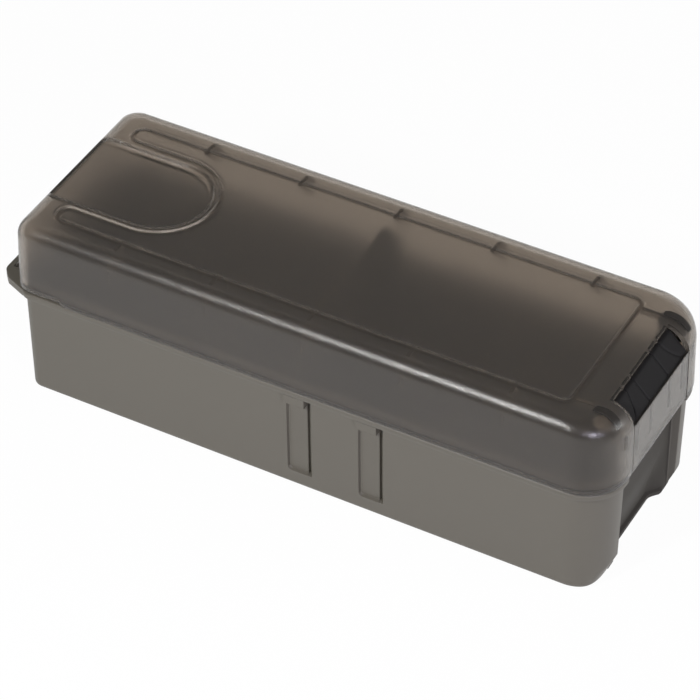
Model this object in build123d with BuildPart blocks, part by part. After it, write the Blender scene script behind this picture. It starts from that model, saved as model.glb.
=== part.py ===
from build123d import *
import os
from math import cos, radians, sin, sqrt, tan

os.makedirs("parts", exist_ok=True)

# Overall sizes. Origin: centre of the base underside. X runs to the latch end.
box_length = 200.0
box_width = 70.0
seam_height = 39.5
box_height = 65.5
half_length = box_length / 2
half_width = box_width / 2

# Lid shell
lid_wall = 1.8
lid_roof = 1.8
lid_draft = 1.1
side_round = 5.2
end_round = 8.4
corner_latch_end = 14.0
corner_hinge_end = 6.0
corner_shrink = 0.4
round_steps = 10
rail_height = 0.35
lid_top = box_height - rail_height
under_roof = lid_top - lid_roof
end_wall_inner = half_length - lid_wall

# Base shell
base_wall = 1.9
base_floor = 2.0
base_draft = 0.9
base_inset = 1.8
base_edge_round = 1.8
flange_height = 2.2
flange_inset = 0.3
lip_height = 4.0
lip_clearance = 0.3
flange_bottom = seam_height - flange_height
lip_top = seam_height + lip_height
base_half_length = half_length - base_inset
base_half_width = half_width - base_inset
inner_half_length = base_half_length - base_wall
inner_half_width = base_half_width - base_wall
flange_half_length = half_length - flange_inset
flange_half_width = half_width - flange_inset
lip_half_length = half_length - lid_wall - lip_clearance
lip_half_width = half_width - lid_wall - lip_clearance

# Finger recess between the corner pillars at the latch end
recess_half_width = 19.7
recess_depth = 4.8
recess_wall = 1.8
scoop_half_width = 12.5
scoop_top = 22.0
scoop_depth = 3.8
scoop_lip = 1.0
scoop_lip_height = 1.4
toe_rise = 8.0
toe_run = 3.5
recess_floor_x = half_length - recess_depth
scoop_x = recess_floor_x - scoop_depth
scoop_lip_x = scoop_x + scoop_lip

# Strips on the front wall
strip_left_edges = (-5.6, 18.6)
strip_width = 6.6
strip_depth = 1.0
strip_bottom = 5.9
apron_height = 3.5
slot_width = 1.4
slot_depth = 2.2
slot_backing = 3.9
strip_top = flange_bottom - apron_height

# Divider and its guides
divider_x = -2.0
divider_thickness = 1.6
divider_clearance = 0.2
divider_below_roof = 4.5
divider_shoulder_drop = 10.0
divider_top_half = 23.4
divider_top = box_height - divider_below_roof
divider_shoulder = divider_top - divider_shoulder_drop
guide_pitch = 0.164 * box_length
guide_count = 5
guide_thickness = 1.2
guide_depth = 1.6
guide_below_lip = 3.0
roof_rib_middle = -0.3
roof_rib_reach = 8.6
guide_steps = [guide_pitch * (i - (guide_count - 1) / 2) for i in range(guide_count)]

# Hinge
hinge_outside = 3.2
hinge_below_seam = 0.5
hinge_pin_radius = 1.0
pin_clearance = 0.05
knuckle_radius = 2.3
knuckle_inner = 13.0
knuckle_outer = 25.0
knuckle_gap = 0.3
knuckle_wall = 0.7
arm_angle = 50.0
ledge_outside = 7.5
ledge_thickness = 2.4
ledge_corner = 2.6
hinge_relief = 1.2
hinge_relief_length = 17.8
hinge_x = -half_length - hinge_outside
hinge_z = seam_height - hinge_below_seam
ledge_x = -half_length - ledge_outside
hinge_relief_x = -half_length + hinge_relief_length
knuckle_middle = (knuckle_inner + knuckle_outer) / 2
knuckle_length = knuckle_outer - knuckle_inner

# Latch
latch_from_end = 8.0
latch_below_roof = 5.5
latch_pin_radius = 1.3
hub_radius = 2.5
boss_radius = 4.6
boss_inner = 20.0
boss_outer = 24.6
boss_pocket_radius = 3.0
boss_pocket_depth = 1.3
gusset_thickness = 1.2
window_half_width = 18.7
window_from_end = 7.6
flap_gap = 0.3
flap_below_roof = 7.7
flap_bottom_gap = 0.2
latch_rib = 1.4
latch_rib_y = 6.2
latch_rib_flare = (11.2, 15.4)
catch_gap = 0.15
catch_reach = 0.9
catch_half_width = 13.0
latch_x = half_length - latch_from_end
latch_z = box_height - latch_below_roof
window_x = half_length - window_from_end
flap_top = box_height - flap_below_roof

# Roof decoration
rail_half_width = 1.6
rail_half_depth = 0.8
rail_side_inset = 9.8
rail_latch_inset = 18.1
rail_hinge_inset = 10.1
rail_corner = 3.0
tongue_reach = 32.2
tongue_rail_radius = 18.4
tongue_radius = 16.2
tongue_depth = 1.6
tongue_slope = 1.6
rail_y = half_width - rail_side_inset
rail_right_x = half_length - rail_latch_inset
rail_left_x = -half_length + rail_hinge_inset
tongue_x = -half_length + tongue_reach


def plan_outline(left, right, half_y, radius_left, radius_right):
    """Rounded rectangle with its own corner radius at each end."""
    with BuildSketch(mode=Mode.PRIVATE) as outline:
        with Locations(((left + right) / 2, 0)):
            Rectangle(right - left, 2 * half_y)
        ends = outline.vertices().group_by(Axis.X)
        fillet(ends[0], radius_left)
        ends = outline.vertices().group_by(Axis.X)
        fillet(ends[-1], radius_right)
    return outline.sketch


def round_inset(radius, top, z):
    """How far a quarter round of this radius has come in at height z."""
    rise = z - (top - radius)
    if rise <= 0:
        return 0.0
    return radius - sqrt(max(radius * radius - rise * rise, 0.0))


def lid_outline(z, inset, top):
    """Plan outline of the lid shell at height z, moved in by inset."""
    lean = (z - seam_height) * tan(radians(lid_draft)) + inset
    side_in = round_inset(side_round - inset, top, z)
    end_in = round_inset(end_round - inset, top, z)
    return plan_outline(
        -half_length + lean + side_in,
        half_length - lean - end_in,
        half_width - lean - side_in,
        corner_hinge_end - inset - corner_shrink * side_in,
        corner_latch_end - inset - corner_shrink * end_in,
    )


def lid_shape(inset, bottom, top):
    """Solid with the lid's drafted walls below and its rounded top edge above."""
    big = end_round - inset
    wall_top = top - big
    with BuildPart(mode=Mode.PRIVATE) as shape:
        for z in (bottom, wall_top):
            with BuildSketch(Plane.XY.offset(z)):
                add(lid_outline(z, inset, top))
        loft(ruled=True)
        for step in range(round_steps + 1):
            z = wall_top + big * sin(radians(90 * step / round_steps))
            with BuildSketch(Plane.XY.offset(z)):
                add(lid_outline(z, inset, top))
        loft(ruled=True)
    return shape.part


def y_cylinder(x, z, radius, y_low, y_high):
    """Cylinder lying along Y between two Y values."""
    with BuildPart(mode=Mode.PRIVATE) as rod:
        with BuildSketch(Plane.XZ.offset(-y_high)):
            with Locations((x, z)):
                Circle(radius)
        extrude(amount=y_high - y_low)
    return rod.part


def y_prism(points, y_low, y_high):
    """Prism with an X-Z outline between two Y values."""
    with BuildPart(mode=Mode.PRIVATE) as prism:
        with BuildSketch(Plane.XZ.offset(-y_high)):
            with BuildLine():
                Polyline(*points, close=True)
            make_face()
        extrude(amount=y_high - y_low)
    return prism.part


def block(x_low, x_high, y_low, y_high, z_low, z_high):
    """Box between two corners."""
    with BuildPart(mode=Mode.PRIVATE) as body:
        with Locations(((x_low + x_high) / 2, (y_low + y_high) / 2, (z_low + z_high) / 2)):
            Box(x_high - x_low, y_high - y_low, z_high - z_low)
    return body.part


lid_outer = lid_shape(0.0, seam_height, lid_top)
lid_inner = lid_shape(lid_wall, seam_height - 1.0, under_roof)

# Space inside the base
with BuildPart() as base_cavity:
    with BuildSketch(Plane.XY.offset(flange_bottom)):
        add(
            plan_outline(
                -inner_half_length,
                inner_half_length,
                inner_half_width,
                corner_hinge_end - base_inset - base_wall,
                corner_latch_end - base_inset - base_wall,
            )
        )
    extrude(amount=lip_top - flange_bottom + 1.0)
    extrude(
        base_cavity.faces().sort_by(Axis.Z)[0],
        amount=flange_bottom - base_floor,
        dir=(0, 0, -1),
        taper=base_draft,
    )
    add(
        block(
            recess_floor_x - recess_wall,
            half_length,
            -recess_half_width - recess_wall,
            recess_half_width + recess_wall,
            0,
            lip_top + 2,
        ),
        mode=Mode.SUBTRACT,
    )
    with BuildPart(mode=Mode.PRIVATE) as bulge:
        with BuildSketch():
            with BuildLine():
                Polyline(
                    (half_length, -recess_half_width),
                    (recess_floor_x - recess_wall, -recess_half_width + 0.3),
                    (scoop_x - recess_wall, -scoop_half_width - 0.9),
                    (scoop_x - recess_wall, scoop_half_width + 0.9),
                    (recess_floor_x - recess_wall, recess_half_width - 0.3),
                    (half_length, recess_half_width),
                    close=True,
                )
            make_face()
        extrude(amount=scoop_top + 2.5)
        add(
            y_prism(
                [
                    (half_length, 0),
                    (scoop_x - recess_wall, 0),
                    (scoop_x - recess_wall, 12.0),
                    (recess_floor_x - recess_wall, scoop_top + 2.5),
                    (half_length, scoop_top + 2.5),
                ],
                -half_width,
                half_width,
            ),
            mode=Mode.INTERSECT,
        )
    add(bulge.part, mode=Mode.SUBTRACT)
    toe_in = base_wall + 0.4
    add(
        y_prism(
            [
                (base_half_length - toe_run - toe_in, 0),
                (base_half_length + 1, 0),
                (base_half_length + 1, toe_rise + toe_in + 1.5),
                (base_half_length - toe_in + 0.5, toe_rise + toe_in),
            ],
            -half_width,
            half_width,
        ),
        mode=Mode.SUBTRACT,
    )

# Base: drafted tray with flange, lip, pillars and hinge ledge
with BuildPart() as base_tray:
    with BuildSketch(Plane.XY.offset(flange_bottom)):
        add(
            plan_outline(
                -base_half_length,
                base_half_length,
                base_half_width,
                corner_hinge_end - base_inset,
                corner_latch_end - base_inset,
            )
        )
    extrude(amount=flange_bottom, dir=(0, 0, -1), taper=base_draft)
    fillet(base_tray.faces().sort_by(Axis.Z)[0].edges(), base_edge_round)
    with BuildSketch(Plane.XY.offset(flange_bottom)):
        add(
            plan_outline(
                -flange_half_length,
                flange_half_length,
                flange_half_width,
                corner_hinge_end - flange_inset,
                corner_latch_end - flange_inset,
            )
        )
    extrude(amount=flange_height)
    with BuildSketch(Plane.XY.offset(seam_height)):
        add(
            plan_outline(
                -lip_half_length,
                lip_half_length,
                lip_half_width,
                corner_hinge_end - lid_wall - lip_clearance,
                corner_latch_end - lid_wall - lip_clearance,
            )
        )
    extrude(amount=lip_height)
    # hinge ledge with rounded outer corners
    with BuildSketch(Plane.XY.offset(seam_height - ledge_thickness)) as ledge_sketch:
        with BuildLine():
            Polyline(
                (-half_length + 4.0, -half_width + 1.6),
                (-half_length + 2.4, -half_width + 1.6),
                (ledge_x + 3.1, -half_width + 4.4),
                (ledge_x, -half_width + 7.8),
                (ledge_x, half_width - 7.8),
                (ledge_x + 3.1, half_width - 4.4),
                (-half_length + 2.4, half_width - 1.6),
                (-half_length + 4.0, half_width - 1.6),
                close=True,
            )
        make_face()
        fillet(ledge_sketch.vertices().group_by(Axis.X)[0], ledge_corner)
    extrude(amount=ledge_thickness)
    add(
        y_cylinder(
            hinge_x, hinge_z, knuckle_radius, -knuckle_inner + knuckle_gap, knuckle_inner - knuckle_gap
        )
    )
    # aprons above the strips
    for left in strip_left_edges:
        with BuildSketch(Plane.XZ.offset(flange_half_width - 0.3)) as apron:
            with Locations((left + strip_width / 2 - 0.3, (strip_top + flange_bottom) / 2 + 0.5)):
                Rectangle(strip_width + 0.6, flange_bottom - strip_top + 1.0)
            fillet(apron.vertices().group_by(Axis.Y)[0], 1.2)
        extrude(amount=-2.0)
    add(base_cavity.part, mode=Mode.SUBTRACT)
    # pilasters behind the outside slots
    for left in strip_left_edges:
        add(
            block(
                left + strip_width - 0.6,
                left + strip_width + slot_width + 1.0,
                -base_half_width + 0.8,
                -base_half_width + slot_backing,
                base_floor - 0.5,
                flange_bottom + 1.0,
            )
        )
    # divider guides on both long walls
    for step in guide_steps:
        for side in (-1, 1):
            wall_y = side * (inner_half_width + 0.4)
            tip_y = side * (inner_half_width - guide_depth)
            for offset in (-1, 1):
                centre = divider_x + step
                centre += offset * (divider_thickness / 2 + divider_clearance + guide_thickness / 2)
                add(
                    block(
                        centre - guide_thickness / 2,
                        centre + guide_thickness / 2,
                        min(wall_y, tip_y),
                        max(wall_y, tip_y),
                        base_floor - 0.5,
                        lip_top - guide_below_lip,
                    )
                )
    # finger recess, scoop and toe
    add(
        block(
            recess_floor_x,
            half_length + 2,
            -recess_half_width,
            recess_half_width,
            -1,
            lip_top + 1,
        ),
        mode=Mode.SUBTRACT,
    )
    with BuildPart(mode=Mode.PRIVATE) as scoop:
        with BuildSketch(Plane.XZ.offset(-recess_half_width)):
            with BuildLine():
                l1 = Line((half_length, scoop_top), (recess_floor_x, scoop_top))
                l2 = Spline(
                    l1 @ 1,
                    (scoop_x, scoop_lip_height + 1.2),
                    tangents=((-0.15, -1), (0.05, -1)),
                )
                l3 = Line(l2 @ 1, (scoop_x + 0.5, scoop_lip_height))
                l4 = Line(l3 @ 1, (scoop_lip_x, scoop_lip_height))
                l5 = Line(l4 @ 1, (scoop_lip_x, -1))
                l6 = Line(l5 @ 1, (half_length, -1))
                Line(l6 @ 1, l1 @ 0)
            make_face()
        extrude(amount=2 * recess_half_width)
        with BuildSketch(Plane.XY.offset(-1)) as scoop_plan:
            with BuildLine():
                Polyline(
                    (half_length, -recess_half_width),
                    (recess_floor_x, -recess_half_width + 1.0),
                    (scoop_x - 0.2, -scoop_half_width),
                    (scoop_x - 0.2, scoop_half_width),
                    (recess_floor_x, recess_half_width - 1.0),
                    (half_length, recess_half_width),
                    close=True,
                )
            make_face()
            fillet(scoop_plan.vertices().group_by(Axis.X)[0], 4.0)
        extrude(amount=scoop_top + 2, mode=Mode.INTERSECT)
    add(scoop.part, mode=Mode.SUBTRACT)
    add(
        y_prism(
            [
                (base_half_length - toe_run - 0.6, -0.01),
                (base_half_length + 2, -0.01),
                (base_half_length + 2, toe_rise),
                (base_half_length - 0.35, toe_rise),
            ],
            -half_width,
            half_width,
        ),
        mode=Mode.SUBTRACT,
    )
    # catch bar for the latch, just short of the hook's path
    hook_tip_x = end_wall_inner - catch_reach
    catch_tip_x = hook_tip_x - catch_gap
    add(
        y_prism(
            [
                (recess_floor_x - 0.5, seam_height + 1.0),
                (recess_floor_x, seam_height + 1.0),
                (catch_tip_x, seam_height + 2.3),
                (catch_tip_x, seam_height + 2.9),
                (recess_floor_x, lip_top),
                (recess_floor_x - 0.5, lip_top),
            ],
            -catch_half_width,
            catch_half_width,
        )
    )
    # recessed strips and their deep slots
    for left in strip_left_edges:
        with BuildSketch(Plane.XZ.offset(half_width)) as strip:
            with Locations((left + strip_width / 2, (strip_bottom + strip_top) / 2)):
                Rectangle(strip_width, strip_top - strip_bottom)
            fillet(strip.vertices().group_by(Axis.Y)[0].sort_by(Axis.X)[0], 1.8)
        extrude(amount=-(half_width - base_half_width + strip_depth), mode=Mode.SUBTRACT)
        with BuildSketch(Plane.XZ.offset(half_width)) as slot:
            with Locations((left + strip_width + slot_width / 2, (strip_bottom + flange_bottom) / 2)):
                Rectangle(slot_width, flange_bottom - strip_bottom)
            fillet(slot.vertices().group_by(Axis.Y)[0], 0.6)
        extrude(amount=-(half_width - base_half_width + slot_depth), mode=Mode.SUBTRACT)
    # slots for the lid knuckles and the pin bore
    for side in (-1, 1):
        add(
            block(
                hinge_x - knuckle_radius - knuckle_gap,
                -flange_half_length,
                side * knuckle_middle - knuckle_length / 2 - knuckle_gap,
                side * knuckle_middle + knuckle_length / 2 + knuckle_gap,
                seam_height - ledge_thickness - 1,
                seam_height + 4,
            ),
            mode=Mode.SUBTRACT,
        )
    add(
        y_cylinder(hinge_x, hinge_z, hinge_pin_radius + pin_clearance, -knuckle_inner, knuckle_inner),
        mode=Mode.SUBTRACT,
    )
base_tray.part.label = "base_tray"
export_step(base_tray.part, "parts/base_tray.step")

# Lid: rounded shell, thumb tongue, rail, ribs, bosses and knuckles
with BuildPart() as lid:
    add(lid_outer)
    add(lid_inner, mode=Mode.SUBTRACT)
    # thicker roof under the tongue
    with BuildSketch(Plane.XY.offset(under_roof - tongue_depth)) as tongue_under:
        with Locations((tongue_x, 0)):
            Circle(tongue_radius)
        with Locations(((tongue_x - half_length) / 2 + 1.2, 0)):
            Rectangle(tongue_x + half_length - 2.4, 2 * tongue_radius)
    extrude(amount=tongue_depth + 0.3)
    # recessed thumb tongue, open at the hinge end
    with BuildSketch(Plane.XY.offset(lid_top - tongue_depth)) as tongue_floor:
        with Locations((tongue_x, 0)):
            Circle(tongue_radius - tongue_slope)
        with Locations(((tongue_x - half_length) / 2 - 2, 0)):
            Rectangle(tongue_x + half_length + 4, 2 * (tongue_radius - tongue_slope))
    extrude(amount=tongue_depth + 1, taper=-45, mode=Mode.SUBTRACT)
    # rail standing round the two roof panels
    with BuildLine(Plane.XY.offset(box_height - rail_half_depth)) as rail_path:
        Polyline(
            (tongue_x, -tongue_rail_radius),
            (rail_left_x, -tongue_rail_radius),
            (rail_left_x, -rail_y),
            (rail_right_x, -rail_y),
            (rail_right_x, rail_y),
            (rail_left_x, rail_y),
            (rail_left_x, tongue_rail_radius),
            (tongue_x, tongue_rail_radius),
        )
        corners = rail_path.vertices().filter_by(lambda v: abs(v.X - tongue_x) > 1)
        fillet(corners, rail_corner)
        ThreePointArc(
            (tongue_x, tongue_rail_radius),
            (tongue_x + tongue_rail_radius, 0),
            (tongue_x, -tongue_rail_radius),
        )
    rail_wire = rail_path.wires()[0]
    with BuildSketch(Plane(rail_wire @ 0, x_dir=(0, 1, 0), z_dir=rail_wire % 0)):
        Ellipse(rail_half_width, rail_half_depth)
    sweep(path=rail_wire)
    # roof ribs in the corners between roof and long walls
    rib_tip = half_width - lid_wall - roof_rib_reach
    for step in guide_steps:
        for side in (-1, 1):
            with BuildSketch(Plane.YZ.offset(roof_rib_middle + step - guide_thickness / 2)):
                with BuildLine():
                    Polyline(
                        (side * (half_width - lid_wall), under_roof + 0.4),
                        (side * rib_tip, under_roof + 0.4),
                        (side * rib_tip, under_roof - 0.6),
                        (side * (half_width - lid_wall - 1.0), under_roof - roof_rib_reach),
                        (side * (half_width - lid_wall), under_roof - roof_rib_reach),
                        close=True,
                    )
                make_face()
            extrude(amount=guide_thickness)
    # ring bosses for the latch pin, each with a rib back to the rail corner
    for side in (-1, 1):
        low = min(side * boss_inner, side * boss_outer)
        high = max(side * boss_inner, side * boss_outer)
        boss_middle = (low + high) / 2
        add(y_cylinder(latch_x, latch_z, boss_radius, low, high))
        add(
            y_prism(
                [
                    (latch_x - boss_radius, under_roof + 0.4),
                    (latch_x + 2.0, under_roof + 0.4),
                    (latch_x + 2.0, latch_z),
                    (latch_x - boss_radius, latch_z),
                ],
                low,
                high,
            )
        )
        add(
            y_prism(
                [
                    (rail_right_x, under_roof + 0.4),
                    (latch_x - 1.0, under_roof + 0.4),
                    (latch_x - 1.0, latch_z - 3.5),
                    (latch_x - 4.0, latch_z - 3.0),
                    (rail_right_x, under_roof - 1.6),
                ],
                boss_middle - gusset_thickness / 2,
                boss_middle + gusset_thickness / 2,
            )
        )
        add(
            y_prism(
                [
                    (latch_x, latch_z - boss_radius + 0.2),
                    (latch_x, latch_z + 2.0),
                    (end_wall_inner + 0.3, latch_z),
                    (end_wall_inner + 0.3, latch_z - 8.0),
                    (end_wall_inner - 1.2, latch_z - 8.0),
                ],
                boss_middle - gusset_thickness / 2,
                boss_middle + gusset_thickness / 2,
            )
        )
        add(
            y_cylinder(latch_x, latch_z, latch_pin_radius + pin_clearance, low - 1, high + 1),
            mode=Mode.SUBTRACT,
        )
        pocket_low = side * boss_outer if side < 0 else side * boss_outer - boss_pocket_depth
        add(
            y_cylinder(
                latch_x,
                latch_z,
                boss_pocket_radius,
                pocket_low,
                pocket_low + boss_pocket_depth,
            ),
            mode=Mode.SUBTRACT,
        )
    # window in the rounded edge, running down as two slits to the rim
    add(
        block(
            window_x,
            half_length + 2,
            -window_half_width,
            window_half_width,
            seam_height - 1,
            box_height + 2,
        ),
        mode=Mode.SUBTRACT,
    )
    # rim relief over the hinge end
    with BuildSketch(Plane.XZ.offset(-half_width - 1)) as relief:
        with Locations(((hinge_relief_x - half_length - 4) / 2, seam_height)):
            Rectangle(hinge_relief_x + half_length + 4, 2 * hinge_relief)
        fillet(relief.vertices().group_by(Axis.X)[-1].sort_by(Axis.Y)[-1], 0.8)
    extrude(amount=box_width + 2, mode=Mode.SUBTRACT)
    # knuckles and their arms, which stay clear of the ledge as the lid opens
    arm_top = hinge_z + (hinge_outside + 0.1) * tan(radians(arm_angle))
    for side in (-1, 1):
        low = side * knuckle_middle - knuckle_length / 2
        high = side * knuckle_middle + knuckle_length / 2
        add(y_cylinder(hinge_x, hinge_z, knuckle_radius, low, high))
        add(
            y_prism(
                [
                    (hinge_x, hinge_z + hinge_pin_radius + 0.3),
                    (hinge_x + 1.9, hinge_z - 1.2),
                    (-half_length + 0.1, seam_height + hinge_relief),
                    (-half_length + 0.9, seam_height + hinge_relief),
                    (-half_length + 0.9, arm_top),
                    (-half_length + 0.1, arm_top),
                    (
                        hinge_x + knuckle_radius * cos(radians(arm_angle)),
                        hinge_z + knuckle_radius * sin(radians(arm_angle)),
                    ),
                ],
                low,
                high,
            )
        )
        add(
            y_cylinder(
                hinge_x,
                hinge_z,
                hinge_pin_radius + pin_clearance,
                low - 1 if side > 0 else low + knuckle_wall,
                high - knuckle_wall if side > 0 else high + 1,
            ),
            mode=Mode.SUBTRACT,
        )
lid.part.label = "lid"
export_step(lid.part, "parts/lid.step")

# Latch flap: skin cut from the lid's own shell, ribs, hub and hook
flap_half_width = window_half_width - flap_gap
with BuildPart() as latch_flap:
    add(lid_outer)
    add(lid_inner, mode=Mode.SUBTRACT)
    add(
        block(
            end_wall_inner - 6.0,
            half_length + 1,
            -flap_half_width,
            flap_half_width,
            seam_height + flap_bottom_gap,
            flap_top,
        ),
        mode=Mode.INTERSECT,
    )
    # rib side profile, shared by all four ribs
    rib_points = [
        (latch_x - 0.5, latch_z - 2.3),
        (latch_x, latch_z + 2.2),
        (end_wall_inner - 0.8, flap_top - 0.6),
        (end_wall_inner + 0.6, flap_top - 1.2),
        (end_wall_inner + 0.6, seam_height + 6.0),
        (end_wall_inner - 1.0, seam_height + 7.0),
        (end_wall_inner - 1.8, latch_z - 7.5),
    ]
    for side in (-1, 1):
        add(y_prism(rib_points, side * latch_rib_y - latch_rib / 2, side * latch_rib_y + latch_rib / 2))
        with BuildPart(mode=Mode.PRIVATE) as flared_rib:
            near = latch_rib_flare[0] if side > 0 else -latch_rib_flare[0]
            far = latch_rib_flare[1] if side > 0 else -latch_rib_flare[1]
            with BuildSketch(Plane.XY.offset(seam_height)):
                with BuildLine():
                    outer = Spline(
                        (latch_x - 1.0, near + side * latch_rib / 2),
                        (end_wall_inner + 0.6, far + side * latch_rib / 2),
                        tangents=((1, 0), (1, side * 0.9)),
                    )
                    Line(outer @ 1, (end_wall_inner + 0.6, far - side * latch_rib / 2))
                    inner = Spline(
                        (end_wall_inner + 0.6, far - side * latch_rib / 2),
                        (latch_x - 1.0, near - side * latch_rib / 2),
                        tangents=((-1, -side * 0.9), (-1, 0)),
                    )
                    Line(inner @ 1, outer @ 0)
                make_face()
            extrude(amount=box_height - seam_height)
            add(y_prism(rib_points, -half_width, half_width), mode=Mode.INTERSECT)
        add(flared_rib.part)
    add(y_cylinder(latch_x, latch_z, hub_radius, -flap_half_width, flap_half_width))
    # hook along the inside of the lower edge
    add(
        y_prism(
            [
                (end_wall_inner + 0.4, seam_height + 0.6),
                (hook_tip_x, seam_height + 1.0),
                (hook_tip_x, seam_height + 1.5),
                (end_wall_inner + 0.4, seam_height + 2.6),
            ],
            -catch_half_width,
            catch_half_width,
        )
    )
    add(
        y_cylinder(latch_x, latch_z, latch_pin_radius + pin_clearance, -half_width, half_width),
        mode=Mode.SUBTRACT,
    )
latch_flap.part.label = "latch_flap"
export_step(latch_flap.part, "parts/latch_flap.step")

# Latch pin with a head at the front and a press-on cap at the back
cap_radius = boss_pocket_radius - 0.3
cap_thickness = boss_pocket_depth - 0.3
with BuildPart() as latch_pin:
    pocket_face = boss_outer - boss_pocket_depth
    add(y_cylinder(latch_x, latch_z, latch_pin_radius, -pocket_face, pocket_face + cap_thickness))
    add(y_cylinder(latch_x, latch_z, cap_radius, -pocket_face - cap_thickness, -pocket_face))
latch_pin.part.label = "latch_pin"
export_step(latch_pin.part, "parts/latch_pin.step")

with BuildPart() as latch_pin_cap:
    add(y_cylinder(latch_x, latch_z, cap_radius, pocket_face, pocket_face + cap_thickness))
    add(
        y_cylinder(latch_x, latch_z, latch_pin_radius, pocket_face - 1, pocket_face + cap_thickness + 1),
        mode=Mode.SUBTRACT,
    )
latch_pin_cap.part.label = "latch_pin_cap"
export_step(latch_pin_cap.part, "parts/latch_pin_cap.step")

# Hinge pin, held blind in the two lid knuckles
with BuildPart() as hinge_pin:
    pin_half = knuckle_outer - knuckle_wall - 0.3
    add(y_cylinder(hinge_x, hinge_z, hinge_pin_radius, -pin_half, pin_half))
hinge_pin.part.label = "hinge_pin"
export_step(hinge_pin.part, "parts/hinge_pin.step")

# Removable divider standing in the middle pair of guides
divider_low = inner_half_width - (flange_bottom - base_floor) * tan(radians(base_draft)) - 0.3
divider_high = inner_half_width - 0.3
with BuildPart() as center_divider:
    with BuildSketch(Plane.YZ.offset(divider_x - divider_thickness / 2)) as divider_face:
        with BuildLine():
            Polyline(
                (-divider_low, base_floor),
                (divider_low, base_floor),
                (divider_high, flange_bottom),
                (divider_high, divider_shoulder),
                (divider_top_half, divider_top),
                (-divider_top_half, divider_top),
                (-divider_high, divider_shoulder),
                (-divider_high, flange_bottom),
                close=True,
            )
        make_face()
        fillet(divider_face.vertices().group_by(Axis.Y)[-1], 3.0)
    extrude(amount=divider_thickness)
center_divider.part.label = "center_divider"
export_step(center_divider.part, "parts/center_divider.step")
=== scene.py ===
from math import cos, nan, pi, radians, sin, tan

import bpy
import numpy as np
from bpy.props import FloatProperty, PointerProperty, StringProperty
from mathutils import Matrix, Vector


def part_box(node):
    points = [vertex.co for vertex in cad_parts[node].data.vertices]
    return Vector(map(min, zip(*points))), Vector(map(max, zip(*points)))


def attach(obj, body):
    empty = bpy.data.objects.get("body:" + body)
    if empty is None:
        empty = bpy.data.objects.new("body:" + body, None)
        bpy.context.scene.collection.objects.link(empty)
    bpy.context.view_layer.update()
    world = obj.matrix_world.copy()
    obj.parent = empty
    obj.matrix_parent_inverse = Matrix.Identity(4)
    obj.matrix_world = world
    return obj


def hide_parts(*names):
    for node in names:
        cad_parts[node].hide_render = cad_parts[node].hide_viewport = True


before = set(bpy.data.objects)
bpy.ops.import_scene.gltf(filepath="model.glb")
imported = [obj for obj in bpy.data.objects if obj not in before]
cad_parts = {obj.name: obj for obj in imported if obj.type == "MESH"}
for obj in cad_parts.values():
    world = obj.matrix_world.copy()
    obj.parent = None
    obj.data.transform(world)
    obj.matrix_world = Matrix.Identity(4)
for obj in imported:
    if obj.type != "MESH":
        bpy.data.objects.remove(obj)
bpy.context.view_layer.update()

bl_info = {
    "name": "Tackle utility box",
    "version": (1, 0, 0),
    "blender": (4, 5, 0),
    "location": "View3D > Sidebar > Tackle box",
    "description": "Smoked lid, latch flap, grey tray and studio for a tackle utility box",
    "category": "Add Mesh",
}

# Lengths in this file are millimetres, and MM turns them into metres where a mesh is made.
MM = 0.001

# Whole box. X runs to the latch end, Y to the back, and Z up from the base underside.
HALF_LENGTH = 100.0
HALF_WIDTH = 35.0
SEAM = 39.5
ROOF = 65.15
LATCH_CORNER = 14.0
HINGE_CORNER = 6.0

# Lid shell
LID_DRAFT = tan(radians(1.1))
SIDE_ROUND = 5.2
END_ROUND = 8.4
CORNER_SHRINK = 0.45
ROUND_ROWS = 20
WALL_SHARES = (0.2, 0.4, 0.7)
RIM_ROUND = 0.6
RIM_ANGLES = (80.0, 55.0, 30.0, 0.0)
RIM_STOP = 0.98
HINGE_RELIEF = 1.2
HINGE_RELIEF_X = -82.2
HINGE_RELIEF_RUN = 1.2
LID_EDGE_ANGLE = 50.0

# Window and slits round the latch flap
WINDOW_HALF = 18.7
WINDOW_ROW = 18
FLAP_HALF = 18.4
FLAP_TOP = 57.8
FLAP_CURVE = 56.0
FLAP_BOTTOM = SEAM + 0.2

# Spans (start, end, step) of the grid over the roof, fine along the rail and the tongue's bank.
# ROOF_LINES covers the back half outside the middle, and the front half mirrors it.
ROOF_COLUMNS = (
    (-93.0, -86.0, 0.25), (-86.0, -69.0, 1.2), (-69.0, -46.5, 0.25), (-46.5, 79.0, 2.5),
    (79.0, 84.6, 0.2),
)
ROOF_MIDDLE = 13.5
ROOF_MIDDLE_STEP = 0.5
ROOF_LINES = (
    (ROOF_MIDDLE, WINDOW_HALF, 0.25), (WINDOW_HALF, 21.0, 0.25), (21.0, 23.2, 0.4),
    (23.2, 27.2, 0.15), (27.2, 27.8, 0.3),
)

# Rail round the roof panel, and thumb tongue
RAIL_LEFT = -89.9
RAIL_RIGHT = 81.9
RAIL_Y = 25.2
RAIL_CORNER = 3.0
RAIL_HALF = 1.35
RAIL_INNER_SLOPE = 0.75
RAIL_OUTER_SLOPE = 1.0
RAIL_CROWN = 0.9
HAIRLINE_HALF = 0.3
HAIRLINE_DEPTH = 0.07
TONGUE_X = -67.8
TONGUE_RAIL_RADIUS = 18.4
TONGUE_RADIUS = 16.2

# Latch pin, and the lid's bosses with their gussets
LATCH_X = 92.0
LATCH_Z = 60.0
PIN_BORE = 1.35
BOSS_RADIUS = 4.6
BOSS_INNER = 20.0
BOSS_OUTER = 24.6
BOSS_NECK_RADIUS = 2.4
BOSS_DISC = 22.2
POCKET_RADIUS = 3.0
POCKET_DEPTH = 1.3
GUSSET_THICKNESS = 1.2

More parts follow.
